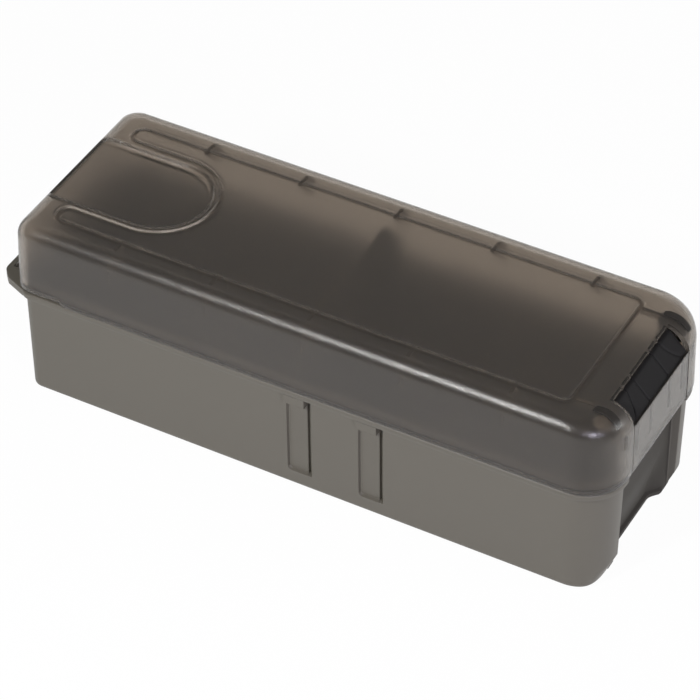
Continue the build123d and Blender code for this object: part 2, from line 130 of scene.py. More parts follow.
# Latch flap's hub, ribs, hook and web. The web runs along X from WEB_START to the skin.
HUB_RADIUS = 2.5
LATCH_RIB = 1.4
LATCH_RIB_Y = 6.2
FLARE_FROM = 11.2
FLARE_TO = 15.4
FLARE_POWER = 1.8
HOOK_REACH = 0.9
HOOK_HALF = 13.0
HOOK_GAP = 0.15
WEB_START = LATCH_X - 0.8
WEB_START_Z = LATCH_Z + 2.7
WEB_BEND = LATCH_X + 0.9
WEB_BEND_Z = LATCH_Z + 2.6
WEB_END_Z = FLAP_TOP - 0.7
WEB_OVERLAP = 0.1
WEB_THICKNESS = 0.7
WEB_GROOVE = 0.45
WEB_GROOVE_SLOPE = 0.4 * LATCH_RIB

# Base tray, as insets from the whole box's plan
BASE_INSET = 1.8
BASE_DRAFT = tan(radians(0.9))
BASE_EDGE = 1.8
FLANGE_BOTTOM = 37.3
FLANGE_INSET = 0.3
FLANGE_ROUND = 0.7
FLANGE_FILLET = 0.15
FLANGE_EDGE = 0.35
LIP_INSET = 2.1
LIP_TOP = 43.5
LIP_FILLET = 0.2
LIP_EDGE = 0.4
LIP_EASE = 0.12
INNER_INSET = 3.7
INNER_TOP = 33.0
BASE_FLOOR = 2.0
FLOOR_ROUND = 1.0
CORNER_STEPS = 16

# Spans (start, end, step) of the rows up the tray's wall, fine over the strips' lower edges, and
# then over the aprons' lower edges
WALL_ROWS = ((2.2, 5.5, 0.8), (5.5, 8.2, 0.15), (8.2, 23.0, 1.2), (23.0, 33.2, 2.5))
APRON_ROWS = ((33.4, 35.4, 0.15), (35.4, 37.0, 0.6))

# Finger recess with its hollow and lip, and the toes beside it
RECESS_HALF = 19.7
RECESS_X = 95.2
RECESS_WALL = 1.8
RECESS_LEAST = 0.3
RECESS_INNER_HALF = 21.4
RECESS_INNER_SLOPE = 40.0
SCOOP_DEPTH = 3.8
SCOOP_TOP = 22.0
SCOOP_FOOT = 1.2
SCOOP_STRAIGHT = 0.35
SCOOP_MARGIN = 0.6
SCOOP_SIDE_RUN = 6.5
SCOOP_LIP = 1.4
SCOOP_LIP_REACH = 1.0
SCOOP_LIP_STEP = 0.3
SCOOP_LIP_FROM = 0.8
TOE_RISE = 8.0
TOE_BOTTOM_X = 94.9
TOE_TOP_X = 97.85
TOE_BLEND = 5.0

# Stations over the edge of the recess, from the corner inwards: y, and how far each lies back
# from the pillar's face or, past the edge, out from the back wall of the recess
RECESS_EDGE = (
    (HALF_WIDTH - LATCH_CORNER, 0.0, nan), (20.3, 0.0, nan), (20.0, 0.0, nan), (19.8, 0.08, nan),
    (RECESS_HALF, 0.3, nan), (RECESS_HALF, nan, 0.8), (19.5, nan, 0.28), (19.25, nan, 0.07),
    (18.9, nan, 0.0),
)

# Strips on the front wall, each with a slot on its right and an apron above
STRIP_LEFTS = (-5.6, 18.6)
STRIP_WIDTH = 6.6
STRIP_BOTTOM = 5.9
STRIP_TOP = 33.8
STRIP_DEPTH = 1.0
STRIP_CORNER = 1.4
STRIP_SLOPE = 0.4
STRIP_RUN_ON = 1.0
SLOT_WIDTH = 1.4
SLOT_DEPTH = 2.2
SLOT_TOP = 40.0
SLOT_CORNER = 0.5
SLOT_SLOPE = 0.3
APRON_PROUD = 1.25
APRON_MARGIN = 0.6
APRON_TOP = 42.0
APRON_CORNER = 1.2
APRON_RUN_ON = 3.0
EDGE_BEAD = 0.12
EDGE_BEAD_HALF = 0.4

# Divider, its guides in the tray, and the roof ribs over them
DIVIDER_X = -2.0
DIVIDER_THICKNESS = 1.6
DIVIDER_GAP = 0.2
DIVIDER_SHOULDER = 51.0
DIVIDER_TOP_HALF = 20.4
DIVIDER_CORNER = 3.0
GUIDE_PITCH = 32.8
GUIDE_COUNT = 5
GUIDE_THICKNESS = 1.2
GUIDE_DEPTH = 1.6
GUIDE_ROOT = 0.4
ROOF_RIB_MIDDLE = -0.3
ROOF_RIB_REACH = 8.6
RIB_ROOT = 0.3

# Hinge
HINGE_X = -103.2
HINGE_Z = 39.0
HINGE_BORE = 1.05
KNUCKLE_RADIUS = 2.3
KNUCKLE_INNER = 13.0
KNUCKLE_OUTER = 25.0
KNUCKLE_GAP = 0.3
ARM_ANGLE = 50.0
ARM_REACH = 3.3
ARM_ROOT = 0.9
LEDGE_X = -107.5
LEDGE_ROOT = -96.6
LEDGE_THICKNESS = 2.4

# Half width of the hinge ledge at places along X: a rounded corner, then a taper to the tray
LEDGE_PLACES = (LEDGE_X, LEDGE_X + 0.15, LEDGE_X + 0.5, LEDGE_X + 1.0, -104.4, -97.6)
LEDGE_HALVES = (25.9, 26.8, 27.6, 28.2, 30.6, 33.4)

# Finishes. The grain of a mould face is about 0.1 mm wide, too fine to show, and is drawn coarser.
LID_GRAIN = 0.6
LID_GRAIN_HEIGHT = 0.12
CORE_GRAIN_HEIGHT = 0.02
TRAY_GRAIN = 0.5
TRAY_GRAIN_HEIGHT = 0.008
LID_CLEARNESS = 0.96
POLYPROPYLENE_IOR = 1.49
ACETAL_IOR = 1.48

# Studio: floor, lamps (name, place, aim, width, power, colour) and the camera, whose view comes
# from a fit to the photograph's straight edges. WHITE_SEEN and WHITE_MIRRORED are how white the
# floor is in the picture itself and in reflections.
FLOOR_REACH = 700.0
FLOOR_DROP = 0.05
WHITE_SEEN = 0.97
WHITE_MIRRORED = 0.95
LAMPS = (
    ("key_light", (-120, -550, 500), (20, 0, 50), 100, "key_power", "#FFFFFF"),
    ("fill_light", (720, -560, 420), (60, 0, 40), 120, "fill_power", "#EDEAFF"),
    ("side_light", (850, 300, 280), (60, 0, 30), 200, "side_power", "#FFFFFF"),
)
CAMERA_AZIMUTH = 28.71
CAMERA_ELEVATION = 41.315
CAMERA_DISTANCE = 1050.2
CAMERA_TARGET = (-0.209, -3.835, 33.255)
FOCAL_PIXELS = 3495.7
PHOTO_PIXELS = 700.0
SENSOR_WIDTH = 36.0


def ease(t):
    """Smooth step: 0 up to t = 0, 1 from t = 1, and 3t^2 - 2t^3 between them."""
    t = np.clip(t, 0.0, 1.0)
    return t * t * (3.0 - 2.0 * t)


def graded(*spans):
    """Coordinates in rising order: each span (start, end, step) is divided evenly, near its step."""
    parts = [
        np.linspace(start, end, max(1, round((end - start) / step)), endpoint=False)
        for start, end, step in spans
    ]
    return np.concatenate([*parts, [spans[-1][1]]])


def new_piece(name, vertices, faces, body, material_slot, replaces=()):
    """Mesh object from points in millimetres and lists of corner numbers, riding on a body."""
    mesh = bpy.data.meshes.new(name)
    mesh.from_pydata((np.asarray(vertices, float) * MM).tolist(), [], faces)
    mesh.validate()
    mesh.update()
    mesh.shade_smooth()
    piece = bpy.data.objects.new(name, mesh)
    bpy.context.scene.collection.objects.link(piece)
    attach(piece, body)
    for node in replaces:
        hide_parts(node)
    return piece


def add_wall(piece, thickness, rim_material=0):
    """Solidify inwards, so that the drawn surface stays the outer one. The inner face takes the
    piece's second material, and the rim the one with the given number."""
    solidify = piece.modifiers.new("wall", "SOLIDIFY")
    solidify.thickness = thickness * MM
    solidify.offset = -1.0
    solidify.use_even_offset = False
    solidify.use_rim = True
    solidify.material_offset = 1
    solidify.material_offset_rim = rim_material


def soften(piece, width, angle=35.0, segments=2):
    """Rounds every edge sharper than the angle, as a mould does."""
    bevel = piece.modifiers.new("edges", "BEVEL")
    bevel.width = width * MM
    bevel.segments = segments
    bevel.limit_method = "ANGLE"
    bevel.angle_limit = radians(angle)
    bevel.harden_normals = True
    bevel.use_clamp_overlap = True


def grid_faces(rows, columns, closed=False, keep=None):
    """Quads of a rows x columns grid of points; closed joins the last column to the first."""
    numbers = np.arange(rows * columns).reshape(rows, columns)
    after = np.roll(numbers, -1, axis=1) if closed else numbers[:, 1:]
    here = numbers if closed else numbers[:, :-1]
    quads = np.stack([here[:-1], after[:-1], after[1:], here[1:]], axis=-1)
    if keep is not None:
        quads = quads[keep]
    return quads.reshape(-1, 4)


def prism(points, low, high, axis):
    """Points and faces of a flat outline carried straight along one axis, with both ends closed.
    The outline is given in the two other axes, in the order X, Y, Z."""
    outline = np.asarray(points, float)
    x, y = outline.T
    area = np.sum(x * np.roll(y, -1) - y * np.roll(x, -1))
    if (area > 0) == (axis == "Y"):
        outline = outline[::-1]
    count = len(outline)
    ends = [np.insert(outline, "XYZ".index(axis), place, axis=1) for place in (low, high)]
    ring = np.arange(count)
    sides = np.stack([ring, np.roll(ring, -1), np.roll(ring, -1) + count, ring + count], axis=-1)
    faces = [list(ring[::-1]), list(ring + count), *sides.tolist()]
    return np.concatenate(ends), faces


def joined(parts):
    """Several (points, faces) pairs as one."""
    points, faces, start = [], [], 0
    for part_points, part_faces in parts:
        points.append(np.asarray(part_points, float))
        faces += [[int(corner) + start for corner in face] for face in part_faces]
        start += len(part_points)
    return np.concatenate(points), faces


def arc(x, z, radius, start, end, steps):
    """Points of a circular arc in a flat outline, angles in degrees."""
    angles = np.radians(np.linspace(start, end, steps + 1))
    return [(x + radius * cos(a), z + radius * sin(a)) for a in angles]


def y_lathe(profile, x, z, steps=48):
    """Surface of revolution about a line along Y: a closed profile of (radius, y) pairs carried
    round the line, point = (x + r cos a, y, z + r sin a)."""
    profile = np.asarray(profile, float)
    radius, y = profile.T
    area = np.sum(radius * np.roll(y, -1) - y * np.roll(radius, -1))
    if area > 0:
        radius, y = radius[::-1], y[::-1]
    angle = np.linspace(0.0, 2 * pi, steps, endpoint=False)[:, None]
    points = np.stack(
        [x + radius * np.cos(angle), y + 0 * angle, z + radius * np.sin(angle)], axis=-1
    )
    count = len(profile)
    numbers = np.arange(steps * count).reshape(steps, count)
    along = np.roll(numbers, -1, axis=1)
    quads = np.stack(
        [numbers, np.roll(numbers, -1, axis=0), np.roll(along, -1, axis=0), along], axis=-1
    )
    return points.reshape(-1, 3), quads.reshape(-1, 4).tolist()


class Stations:
    """Places round a rounded rectangle in plan, counter-clockwise. Each is on a straight side,
    at a fixed x or y, or on a corner, at a fixed angle, so the same stations fit every row of
    a shell whatever its insets and corner radii are."""

    def __init__(self, x, y, corner, on_end, theta):
        self.x, self.y = np.asarray(x, float), np.asarray(y, float)
        self.corner, self.on_end = np.asarray(corner, bool), np.asarray(on_end, bool)
        self.theta = np.asarray(theta, float)
        self.end = np.where(self.x > 0, 1.0, -1.0)
        self.side = np.where(self.y > 0, 1.0, -1.0)

    def outline(self, left, right, half, left_corner, right_corner):
        """x and y for each row (down) and station (across); the arguments are per-row arrays."""
        left, right, half = (np.asarray(v, float)[:, None] for v in (left, right, half))
        left_corner = np.asarray(left_corner, float)[:, None]
        right_corner = np.asarray(right_corner, float)[:, None]
        radius = np.where(self.end > 0, right_corner, left_corner)
        reach = np.where(self.end > 0, right, -left)
        corner_x = self.end * (reach - radius + radius * np.cos(self.theta))
        corner_y = self.side * (half - radius + radius * np.sin(self.theta))
        straight_x = np.where(self.on_end, self.end * reach, self.x)
        straight_y = np.where(self.on_end, self.y, self.side * half)
        x = np.where(self.corner, corner_x, straight_x)
        y = np.where(self.corner, corner_y, straight_y)
        return x, y


def capsule_distance(x, y, radius):
    """Distance to a tongue outline: a half circle about TONGUE_X, straight on towards the hinge."""
    return np.where(x > TONGUE_X, np.hypot(x - TONGUE_X, y), np.abs(y)) - radius


def roof_relief(x, y, rail_height, tongue_depth, slope_run):
    """How far the roof surface lies above its top plane at (x, y), and how deep the tongue is
    there. The rail is a low bead along the edge of the panel, which is a rounded rectangle less
    the tongue, with a steeper flank towards the panel; a hairline runs along its crown. The
    tongue is a flat floor with a sloping bank."""
    middle = (RAIL_LEFT + RAIL_RIGHT) / 2
    reach = (RAIL_RIGHT - RAIL_LEFT) / 2
    past_x = np.abs(x - middle) - reach + RAIL_CORNER
    past_y = np.abs(y) - RAIL_Y + RAIL_CORNER
    to_rectangle = (
        np.hypot(np.maximum(past_x, 0), np.maximum(past_y, 0))
        + np.minimum(np.maximum(past_x, past_y), 0)
        - RAIL_CORNER
    )
    to_tongue = -capsule_distance(x, y, TONGUE_RAIL_RADIUS)
    inner = RAIL_CORNER
    off = np.minimum(np.maximum(to_rectangle, to_tongue), -inner) + np.hypot(
        np.maximum(to_rectangle + inner, 0), np.maximum(to_tongue + inner, 0)
    )
    rail = ease((RAIL_HALF + off) / RAIL_INNER_SLOPE) * ease((RAIL_HALF - off) / RAIL_OUTER_SLOPE)
    hairline = HAIRLINE_DEPTH * ease(1.0 - np.abs(off) / HAIRLINE_HALF)
    into_tongue = -capsule_distance(x, y, TONGUE_RADIUS)
    bank = np.clip(into_tongue / slope_run, 0.0, 1.0)
    tongue = tongue_depth * (0.5 * bank + 0.5 * ease(bank))
    return rail_height * rail - hairline * (rail > RAIL_CROWN), tongue


def end_round(z):
    """Inset of the lid's rounded edge at height z on the latch end: a quarter circle."""
    rise = np.clip(z - (ROOF - END_ROUND), 0.0, END_ROUND)
    return END_ROUND - np.sqrt(END_ROUND**2 - rise**2)


def side_round(z):
    """Inset of the lid's rounded edge at height z on the long sides and the hinge end."""
    rise = np.clip(z - (ROOF - SIDE_ROUND), 0.0, SIDE_ROUND)
    return SIDE_ROUND - np.sqrt(SIDE_ROUND**2 - rise**2)


def lid_surface(rail_height, tongue_depth, slope_run):
    """Outer surface of the lid as points and quads. Rows climb the rounded rim, the drafted wall
    and the quarter round to the roof's edge, then a flat band leads to a grid over the roof,
    moved by the relief. The window at the latch end is left open from WINDOW_ROW down to the
    rim."""
    grid_x = graded(*ROOF_COLUMNS)
    mirrored = [(-end, -start, step) for start, end, step in ROOF_LINES[::-1]]
    grid_y = graded(*mirrored, (-ROOF_MIDDLE, ROOF_MIDDLE, ROOF_MIDDLE_STEP), *ROOF_LINES)
    columns, lines = len(grid_x), len(grid_y)
    round_start = ROOF - END_ROUND
    rim = RIM_ROUND * (1.0 - np.sin(np.radians(RIM_ANGLES)))
    wall_z = SEAM + np.concatenate([[0.0], rim, (round_start - SEAM) * np.array(WALL_SHARES)])
    rising = np.sin(np.linspace(0.0, pi / 2, ROUND_ROWS + 1))
    z = np.concatenate([wall_z, round_start + END_ROUND * rising])
    lean = (z - SEAM) * LID_DRAFT
    # the rim's quarter round stops just short of level at the bottom
    below = np.clip(SEAM + RIM_ROUND - z, 0.0, RIM_STOP * RIM_ROUND)
    rim_round = RIM_ROUND - np.sqrt(RIM_ROUND**2 - below**2)
    at_end, at_side = end_round(z) + rim_round, side_round(z) + rim_round
    left = -HALF_LENGTH + lean + at_side
    right = HALF_LENGTH - lean - at_end
    half = HALF_WIDTH - lean - at_side
    left_corner = HINGE_CORNER - CORNER_SHRINK * at_side
    right_corner = LATCH_CORNER - CORNER_SHRINK * at_end

    # the grid's border, counter-clockwise, gives the stations
    border = np.concatenate([
        np.arange(columns),
        columns * np.arange(1, lines) + columns - 1,
        columns * (lines - 1) + np.arange(columns - 2, -1, -1),
        columns * np.arange(lines - 2, 0, -1),
    ])
    mesh_x, mesh_y = np.meshgrid(grid_x, grid_y)
    flat_x, flat_y = mesh_x.ravel(), mesh_y.ravel()
    border_x, border_y = flat_x[border], flat_y[border]
    corner_x = np.where(border_x > 0, right[-1] - right_corner[-1], -left[-1] - left_corner[-1])
    corner_y = half[-1] - np.where(border_x > 0, right_corner[-1], left_corner[-1])
    past_x, past_y = np.abs(border_x) - corner_x, np.abs(border_y) - corner_y
    on_end = (border_x == grid_x[0]) | (border_x == grid_x[-1])
    stations = Stations(
        border_x, border_y, (past_x > 0) & (past_y > 0), on_end, np.arctan2(past_y, past_x)
    )
    x, y = stations.outline(left, right, half, left_corner, right_corner)

    # the rim is raised near the hinge, and the tongue cuts through the rounded edge
    share = np.clip((z - SEAM) / (round_start - SEAM), 0.0, 1.0)[:, None]
    near_hinge = ease((HINGE_RELIEF_X - x) / HINGE_RELIEF_RUN)
    height = z[:, None] + HINGE_RELIEF * near_hinge * (1.0 - share)
    tongue = roof_relief(x, y, rail_height, tongue_depth, slope_run)[1]
    height = np.minimum(height, ROOF - tongue)
    wall = np.stack([x, y, height], axis=-1)

    rail, tongue = roof_relief(flat_x, flat_y, rail_height, tongue_depth, slope_run)
    roof = np.stack([flat_x, flat_y, ROOF + rail - tongue], axis=-1)

    # the quads of the end wall between the slits, below the window's upper edge, are left out
    rows, count = len(z), len(border)
    open_column = (x[0] > HALF_LENGTH - 1.0) & (np.abs(y[0]) < WINDOW_HALF + 0.01)
    open_quad = open_column & np.roll(open_column, -1)
    keep = np.ones((rows - 1, count), bool)
    keep[: len(wall_z) + WINDOW_ROW, open_quad] = False
    faces = grid_faces(rows, count, closed=True, keep=keep).tolist()
    start = rows * count
    last = (rows - 1) * count + np.arange(count)
    inside = start + border
    band = np.stack([last, np.roll(last, -1), np.roll(inside, -1), inside], axis=-1)
    faces += band.tolist() + (grid_faces(lines, columns) + start).tolist()
    points = np.concatenate([wall.reshape(-1, 3), roof])
    used, faces = np.unique(np.concatenate([np.ravel(f) for f in faces]), return_inverse=True)
    return points[used], faces.reshape(-1, 4).tolist()


def flap_surface():
    """Outer surface of the latch flap: the lid's own end surface, x = f(z), between the slits."""
    y = graded((-FLAP_HALF, FLAP_HALF, 1.2))
    z = graded((FLAP_BOTTOM, FLAP_CURVE, 1.6), (FLAP_CURVE, FLAP_TOP, 0.3))
    grid_y, grid_z = np.meshgrid(y, z)
    x = HALF_LENGTH - (grid_z - SEAM) * LID_DRAFT - end_round(grid_z)
    points = np.stack([x, grid_y, grid_z], axis=-1).reshape(-1, 3)
    return points, grid_faces(len(z), len(y)).tolist()


def flare(x, end_inner):
    """Sideways place of the outer ribs at x: they swing out towards the flap's skin, by a power of
    the way there."""
    run = np.clip((x - LATCH_X) / (end_inner - LATCH_X), 0.0, 1.0)
    return FLARE_FROM + (FLARE_TO - FLARE_FROM) * run**FLARE_POWER


def web_surface(end_inner):
    """Web that covers the flap's ribs between hub and skin: a plate whose height follows straight
    lines along X, sunk by WEB_GROOVE over each rib. Also tells which faces lie in a groove; these
    are painted near black, partly for the thick rib plastic and partly as painted shade."""
    end = end_inner + WEB_OVERLAP
    x = graded((WEB_START, end, 0.3))
    y = graded((-FLAP_HALF, FLAP_HALF, 0.16))
    grid_x, grid_y = np.meshgrid(x, y, indexing="ij")
    z = np.interp(grid_x, [WEB_START, WEB_BEND, end], [WEB_START_Z, WEB_BEND_Z, WEB_END_Z])
    across = np.abs(grid_y)
    off = np.minimum(np.abs(across - LATCH_RIB_Y), np.abs(across - flare(grid_x, end_inner)))
    groove = WEB_GROOVE * ease(1.5 - off / WEB_GROOVE_SLOPE)
    faces = grid_faces(len(x), len(y))
    sunk = groove.ravel()[faces].mean(axis=1) > 0.5 * WEB_GROOVE
    points = np.stack([grid_x, grid_y, z - groove], axis=-1).reshape(-1, 3)
    return points, faces.tolist(), sunk


def rounded_box_distance(x, z, left, right, bottom, top, radius):
    """Distance in the wall's plane to a rectangle with rounded corners, negative inside."""
    past_x = np.abs(x - (left + right) / 2) - (right - left) / 2 + radius
    past_z = np.abs(z - (bottom + top) / 2) - (top - bottom) / 2 + radius
    return (
        np.hypot(np.maximum(past_x, 0), np.maximum(past_z, 0))
        + np.minimum(np.maximum(past_x, past_z), 0)
        - radius
    )


def strip_relief(x, z):
    """How far the front wall is sunk at (x, z): two shallow strips, each with a deep slot on its
    right and an apron that stands proud above it. A fine bead follows their edges. Strip and
    apron run on under the slot, and slot and apron past the wall's top, so that no rounded
    corner shows there."""
    depth = np.zeros_like(x)
    for left in STRIP_LEFTS:
        right = left + STRIP_WIDTH
        strip = rounded_box_distance(
            x, z, left, right + STRIP_RUN_ON, STRIP_BOTTOM, STRIP_TOP, STRIP_CORNER
        )
        slot = rounded_box_distance(
            x, z, right, right + SLOT_WIDTH, STRIP_BOTTOM, SLOT_TOP, SLOT_CORNER
        )
        apron = rounded_box_distance(
            x, z, left - APRON_MARGIN, right + APRON_RUN_ON, STRIP_TOP, APRON_TOP, APRON_CORNER
        )
        left_of_slot = ease(0.5 - (x - right) / SLOT_SLOPE)
        depth += STRIP_DEPTH * ease(0.5 - strip / STRIP_SLOPE) * left_of_slot
        depth -= APRON_PROUD * ease(0.5 - apron / STRIP_SLOPE) * left_of_slot
        depth += SLOT_DEPTH * ease(0.5 - slot / SLOT_SLOPE) * (1.0 - left_of_slot)
        strip_edge = ease(1.0 - np.abs(strip) / EDGE_BEAD_HALF) * ease(apron / EDGE_BEAD_HALF)
        apron_edge = ease(1.0 - np.abs(apron) / EDGE_BEAD_HALF)
        depth -= EDGE_BEAD * np.maximum(strip_edge, apron_edge) * left_of_slot
    return depth


def latch_end_limit(y, z):
    """Furthest x of the tray's outer wall inside the finger recess: a flat back wall, and below
    SCOOP_TOP a hollow for the fingertips that ends on a small lip."""
    down = np.clip((SCOOP_TOP - z) / (SCOOP_TOP - SCOOP_LIP - SCOOP_FOOT), 0.0, 1.0)
    hollow = SCOOP_DEPTH * (SCOOP_STRAIGHT * down + (1.0 - SCOOP_STRAIGHT) * ease(down))
    hollow = hollow * ease((RECESS_HALF - SCOOP_MARGIN - np.abs(y)) / SCOOP_SIDE_RUN)
    lip = SCOOP_LIP_REACH * ease((SCOOP_LIP + SCOOP_LIP_STEP - z) / SCOOP_LIP_STEP)
    return RECESS_X - hollow + lip * (hollow > SCOOP_LIP_FROM)


def tray_front_columns(start, end):
    """Places along the front wall, close together over the strips' left edges and the slots."""
    first, second = [
        graded(
            (left - 1.0, left + 2.0, 0.15), (left + 2.0, left + STRIP_WIDTH - 0.4, 1.4),
            (left + STRIP_WIDTH - 0.4, left + STRIP_WIDTH + SLOT_WIDTH + 0.4, 0.1),
        )
        for left in STRIP_LEFTS
    ]
    return np.concatenate([
        graded((start, first[0] - 1.0, 3.0)), first,
        graded((first[-1] + 1.0, second[0] - 1.0, 2.5)), second,
        graded((second[-1] + 1.0, end, 3.0)),
    ])


def tray_stations():
    """Stations round the tray, counter-clockwise from the hinge end of the front wall. With them
    come the distances back and out of RECESS_EDGE, which are NaN where a station has none."""
    corner_x, corner_y = HALF_LENGTH - LATCH_CORNER, HALF_WIDTH - LATCH_CORNER
    hinge_x, hinge_y = -HALF_LENGTH + HINGE_CORNER, HALF_WIDTH - HINGE_CORNER
    edge_y, edge_back, edge_out = np.array(RECESS_EDGE).T
    recess_y = graded((-edge_y[-1], edge_y[-1], 0.9))[1:-1]
    rising = np.linspace(0.0, pi / 2, CORNER_STEPS + 2)[1:-1]
    falling = rising[::-1]

    def run(x, y, corner=False, on_end=False, theta=0.0, back=nan, out=nan):
        values = (x, y, corner, on_end, theta, back, out)
        size = max(np.size(value) for value in values)
        return np.stack([np.broadcast_to(np.asarray(value, float), (size,)) for value in values])

    runs = [
        run(tray_front_columns(hinge_x, corner_x), -HALF_WIDTH),
        run(corner_x, -corner_y, corner=True, theta=falling),
        run(HALF_LENGTH, -edge_y, on_end=True, back=edge_back, out=edge_out),
        run(HALF_LENGTH, recess_y, on_end=True, out=0.0),
        run(HALF_LENGTH, edge_y[::-1], on_end=True, back=edge_back[::-1], out=edge_out[::-1]),
        run(corner_x, corner_y, corner=True, theta=rising),
        run(graded((hinge_x, corner_x, 3.0))[::-1], HALF_WIDTH),
        run(hinge_x, hinge_y, corner=True, theta=falling),
        run(-HALF_LENGTH, graded((-hinge_y, hinge_y, 2.0))[::-1], on_end=True),
        run(hinge_x, -hinge_y, corner=True, theta=rising),
    ]
    *places, back, out = np.concatenate(runs, axis=1)
    return Stations(*places), back, out


def tray_profile():
    """Rows of the tray as insets from the whole box and heights: from the underside up the drafted
    wall, over the flange and lip, and down inside to the floor. Also tells which are inside."""
    turn = np.linspace(0.0, pi / 2, 7)
    foot_inset = BASE_INSET + BASE_DRAFT * (FLANGE_BOTTOM - BASE_EDGE)
    wall_z = np.concatenate([graded(*WALL_ROWS), graded(*APRON_ROWS)])
    outer = [(foot_inset + BASE_EDGE * (1 - sin(a)), BASE_EDGE * (1 - cos(a))) for a in turn]
    outer += [(BASE_INSET + BASE_DRAFT * (FLANGE_BOTTOM - h), h) for h in wall_z]
    outer += [
        (BASE_INSET - 0.02, FLANGE_BOTTOM - FLANGE_FILLET),
        (BASE_INSET - FLANGE_FILLET, FLANGE_BOTTOM),
        (FLANGE_INSET + FLANGE_EDGE, FLANGE_BOTTOM),
        (FLANGE_INSET + 0.1, FLANGE_BOTTOM + 0.1),
        (FLANGE_INSET, FLANGE_BOTTOM + FLANGE_EDGE),
    ]
    outer += [
        (FLANGE_INSET + FLANGE_ROUND * (1 - cos(a)), SEAM - FLANGE_ROUND * (1 - sin(a)))
        for a in turn
    ]
    outer += [
        (LIP_INSET - LIP_FILLET, SEAM), (LIP_INSET, SEAM + LIP_FILLET),
        (LIP_INSET, LIP_TOP - LIP_EDGE), (LIP_INSET + LIP_EASE, LIP_TOP - LIP_EASE),
        (LIP_INSET + LIP_EDGE, LIP_TOP),
    ]
    inner = [
        (INNER_INSET - LIP_EDGE, LIP_TOP), (INNER_INSET - LIP_EASE, LIP_TOP - LIP_EASE),
        (INNER_INSET, LIP_TOP - LIP_EDGE), (INNER_INSET, FLANGE_BOTTOM),
    ]
    low = BASE_FLOOR + FLOOR_ROUND
    down = graded((low, INNER_TOP, 2.0))[::-1]
    inner += [(INNER_INSET + BASE_DRAFT * (FLANGE_BOTTOM - h), h) for h in down]
    floor_inset = inner[-1][0]
    inner += [
        (floor_inset + FLOOR_ROUND * (1 - cos(a)), low - FLOOR_ROUND * sin(a)) for a in turn[1:]
    ]
    inset, z = np.array(outer + inner).T
    return inset, z, np.arange(len(z)) >= len(outer)


def tray_surface():
    """Tray as one closed surface: its profile carried round the plan outline. Strips, finger
    recess and toes move its points. The underside and the floor are flat faces."""
    stations, back, out = tray_stations()
    inset, z, inside = tray_profile()
    x, y = stations.outline(
        inset - HALF_LENGTH, HALF_LENGTH - inset, HALF_WIDTH - inset,
        np.maximum(HINGE_CORNER - inset, 0.4), LATCH_CORNER - inset,
    )
    height = np.broadcast_to(z[:, None], x.shape)
    inside = np.broadcast_to(inside[:, None], x.shape)

    # front strips, on the rows of the outer wall only
    on_wall = (height > BASE_EDGE) & (height < FLANGE_BOTTOM - 0.1) & ~inside
    y = y + np.where(on_wall & (stations.y == -HALF_WIDTH), strip_relief(x, height), 0.0)

    # finger recess: outer rows stop at its back wall
    back_wall = np.minimum(latch_end_limit(y, height) + np.nan_to_num(out), x - RECESS_LEAST)
    x = np.where(np.isnan(out) | inside, x - np.nan_to_num(back), back_wall)

    # toes: a slanting face that runs into the round corner in a blend, widest at the underside
    toe = TOE_BOTTOM_X + (TOE_TOP_X - TOE_BOTTOM_X) * height / TOE_RISE
    blend = TOE_BLEND * np.clip(1.0 - height / TOE_RISE, 0.01, 1.0)
    overlap = np.isnan(out) * np.maximum(blend - np.abs(x - toe), 0.0) ** 2 / (4.0 * blend)
    on_toe = (height < TOE_RISE) & ~inside & (x > 0)
    x = np.where(on_toe, np.minimum(x, toe) - overlap, x)

    # the inner rows follow the recess one wall further in
    past_recess = np.maximum(np.abs(y) - RECESS_INNER_HALF, 0)
    inner_limit = latch_end_limit(y, height) - RECESS_WALL + RECESS_INNER_SLOPE * past_recess
    x = np.where(inside & (x > 0), np.minimum(x, inner_limit), x)

    points = np.stack([x, y, height], axis=-1)
    rows, count = height.shape
    faces = grid_faces(rows, count, closed=True).tolist()
    faces.append(list(range(count))[::-1])
    faces.append([(rows - 1) * count + c for c in range(count)])
    return points.reshape(-1, 3), faces


def ledge_surface():
    """Top face of the hinge ledge: a grid in (x, y) whose outer columns follow the ledge's half
    width, which is interpolated along X, with two openings for the lid's knuckles."""
    slot_left = HINGE_X - KNUCKLE_RADIUS - KNUCKLE_GAP
    slot_right = -HALF_LENGTH + FLANGE_INSET
    slot_low, slot_high = KNUCKLE_INNER - KNUCKLE_GAP, KNUCKLE_OUTER + KNUCKLE_GAP
    slot_x = graded((slot_left, slot_right, 0.8))
    x = np.concatenate([LEDGE_PLACES[:4], slot_x, [LEDGE_PLACES[-1], LEDGE_ROOT]])
    half = np.interp(x, LEDGE_PLACES, LEDGE_HALVES)[:, None]
    inner_y = graded((0.0, slot_low, 2.0), (slot_low, slot_high, 2.0))
    outer_y = slot_high + (half - slot_high) * np.linspace(0.0, 1.0, 6)[1:]
    positive = np.concatenate([np.broadcast_to(inner_y, (len(x), len(inner_y))), outer_y], axis=1)
    y = np.concatenate([-positive[:, :0:-1], positive], axis=1)
    grid_x = np.broadcast_to(x[:, None], y.shape)
    points = np.stack([grid_x, y, np.full_like(y, SEAM)], axis=-1)
    centre_x = (grid_x[1:, 1:] + grid_x[:-1, :-1]) / 2
    centre_y = np.abs(y[1:, 1:] + y[:-1, :-1]) / 2
    across_slot = (centre_x > slot_left) & (centre_x < slot_right)
    hole = across_slot & (centre_y > slot_low) & (centre_y < slot_high)
    faces = grid_faces(*y.shape, keep=~hole)[:, ::-1].tolist()
    return points.reshape(-1, 3), faces


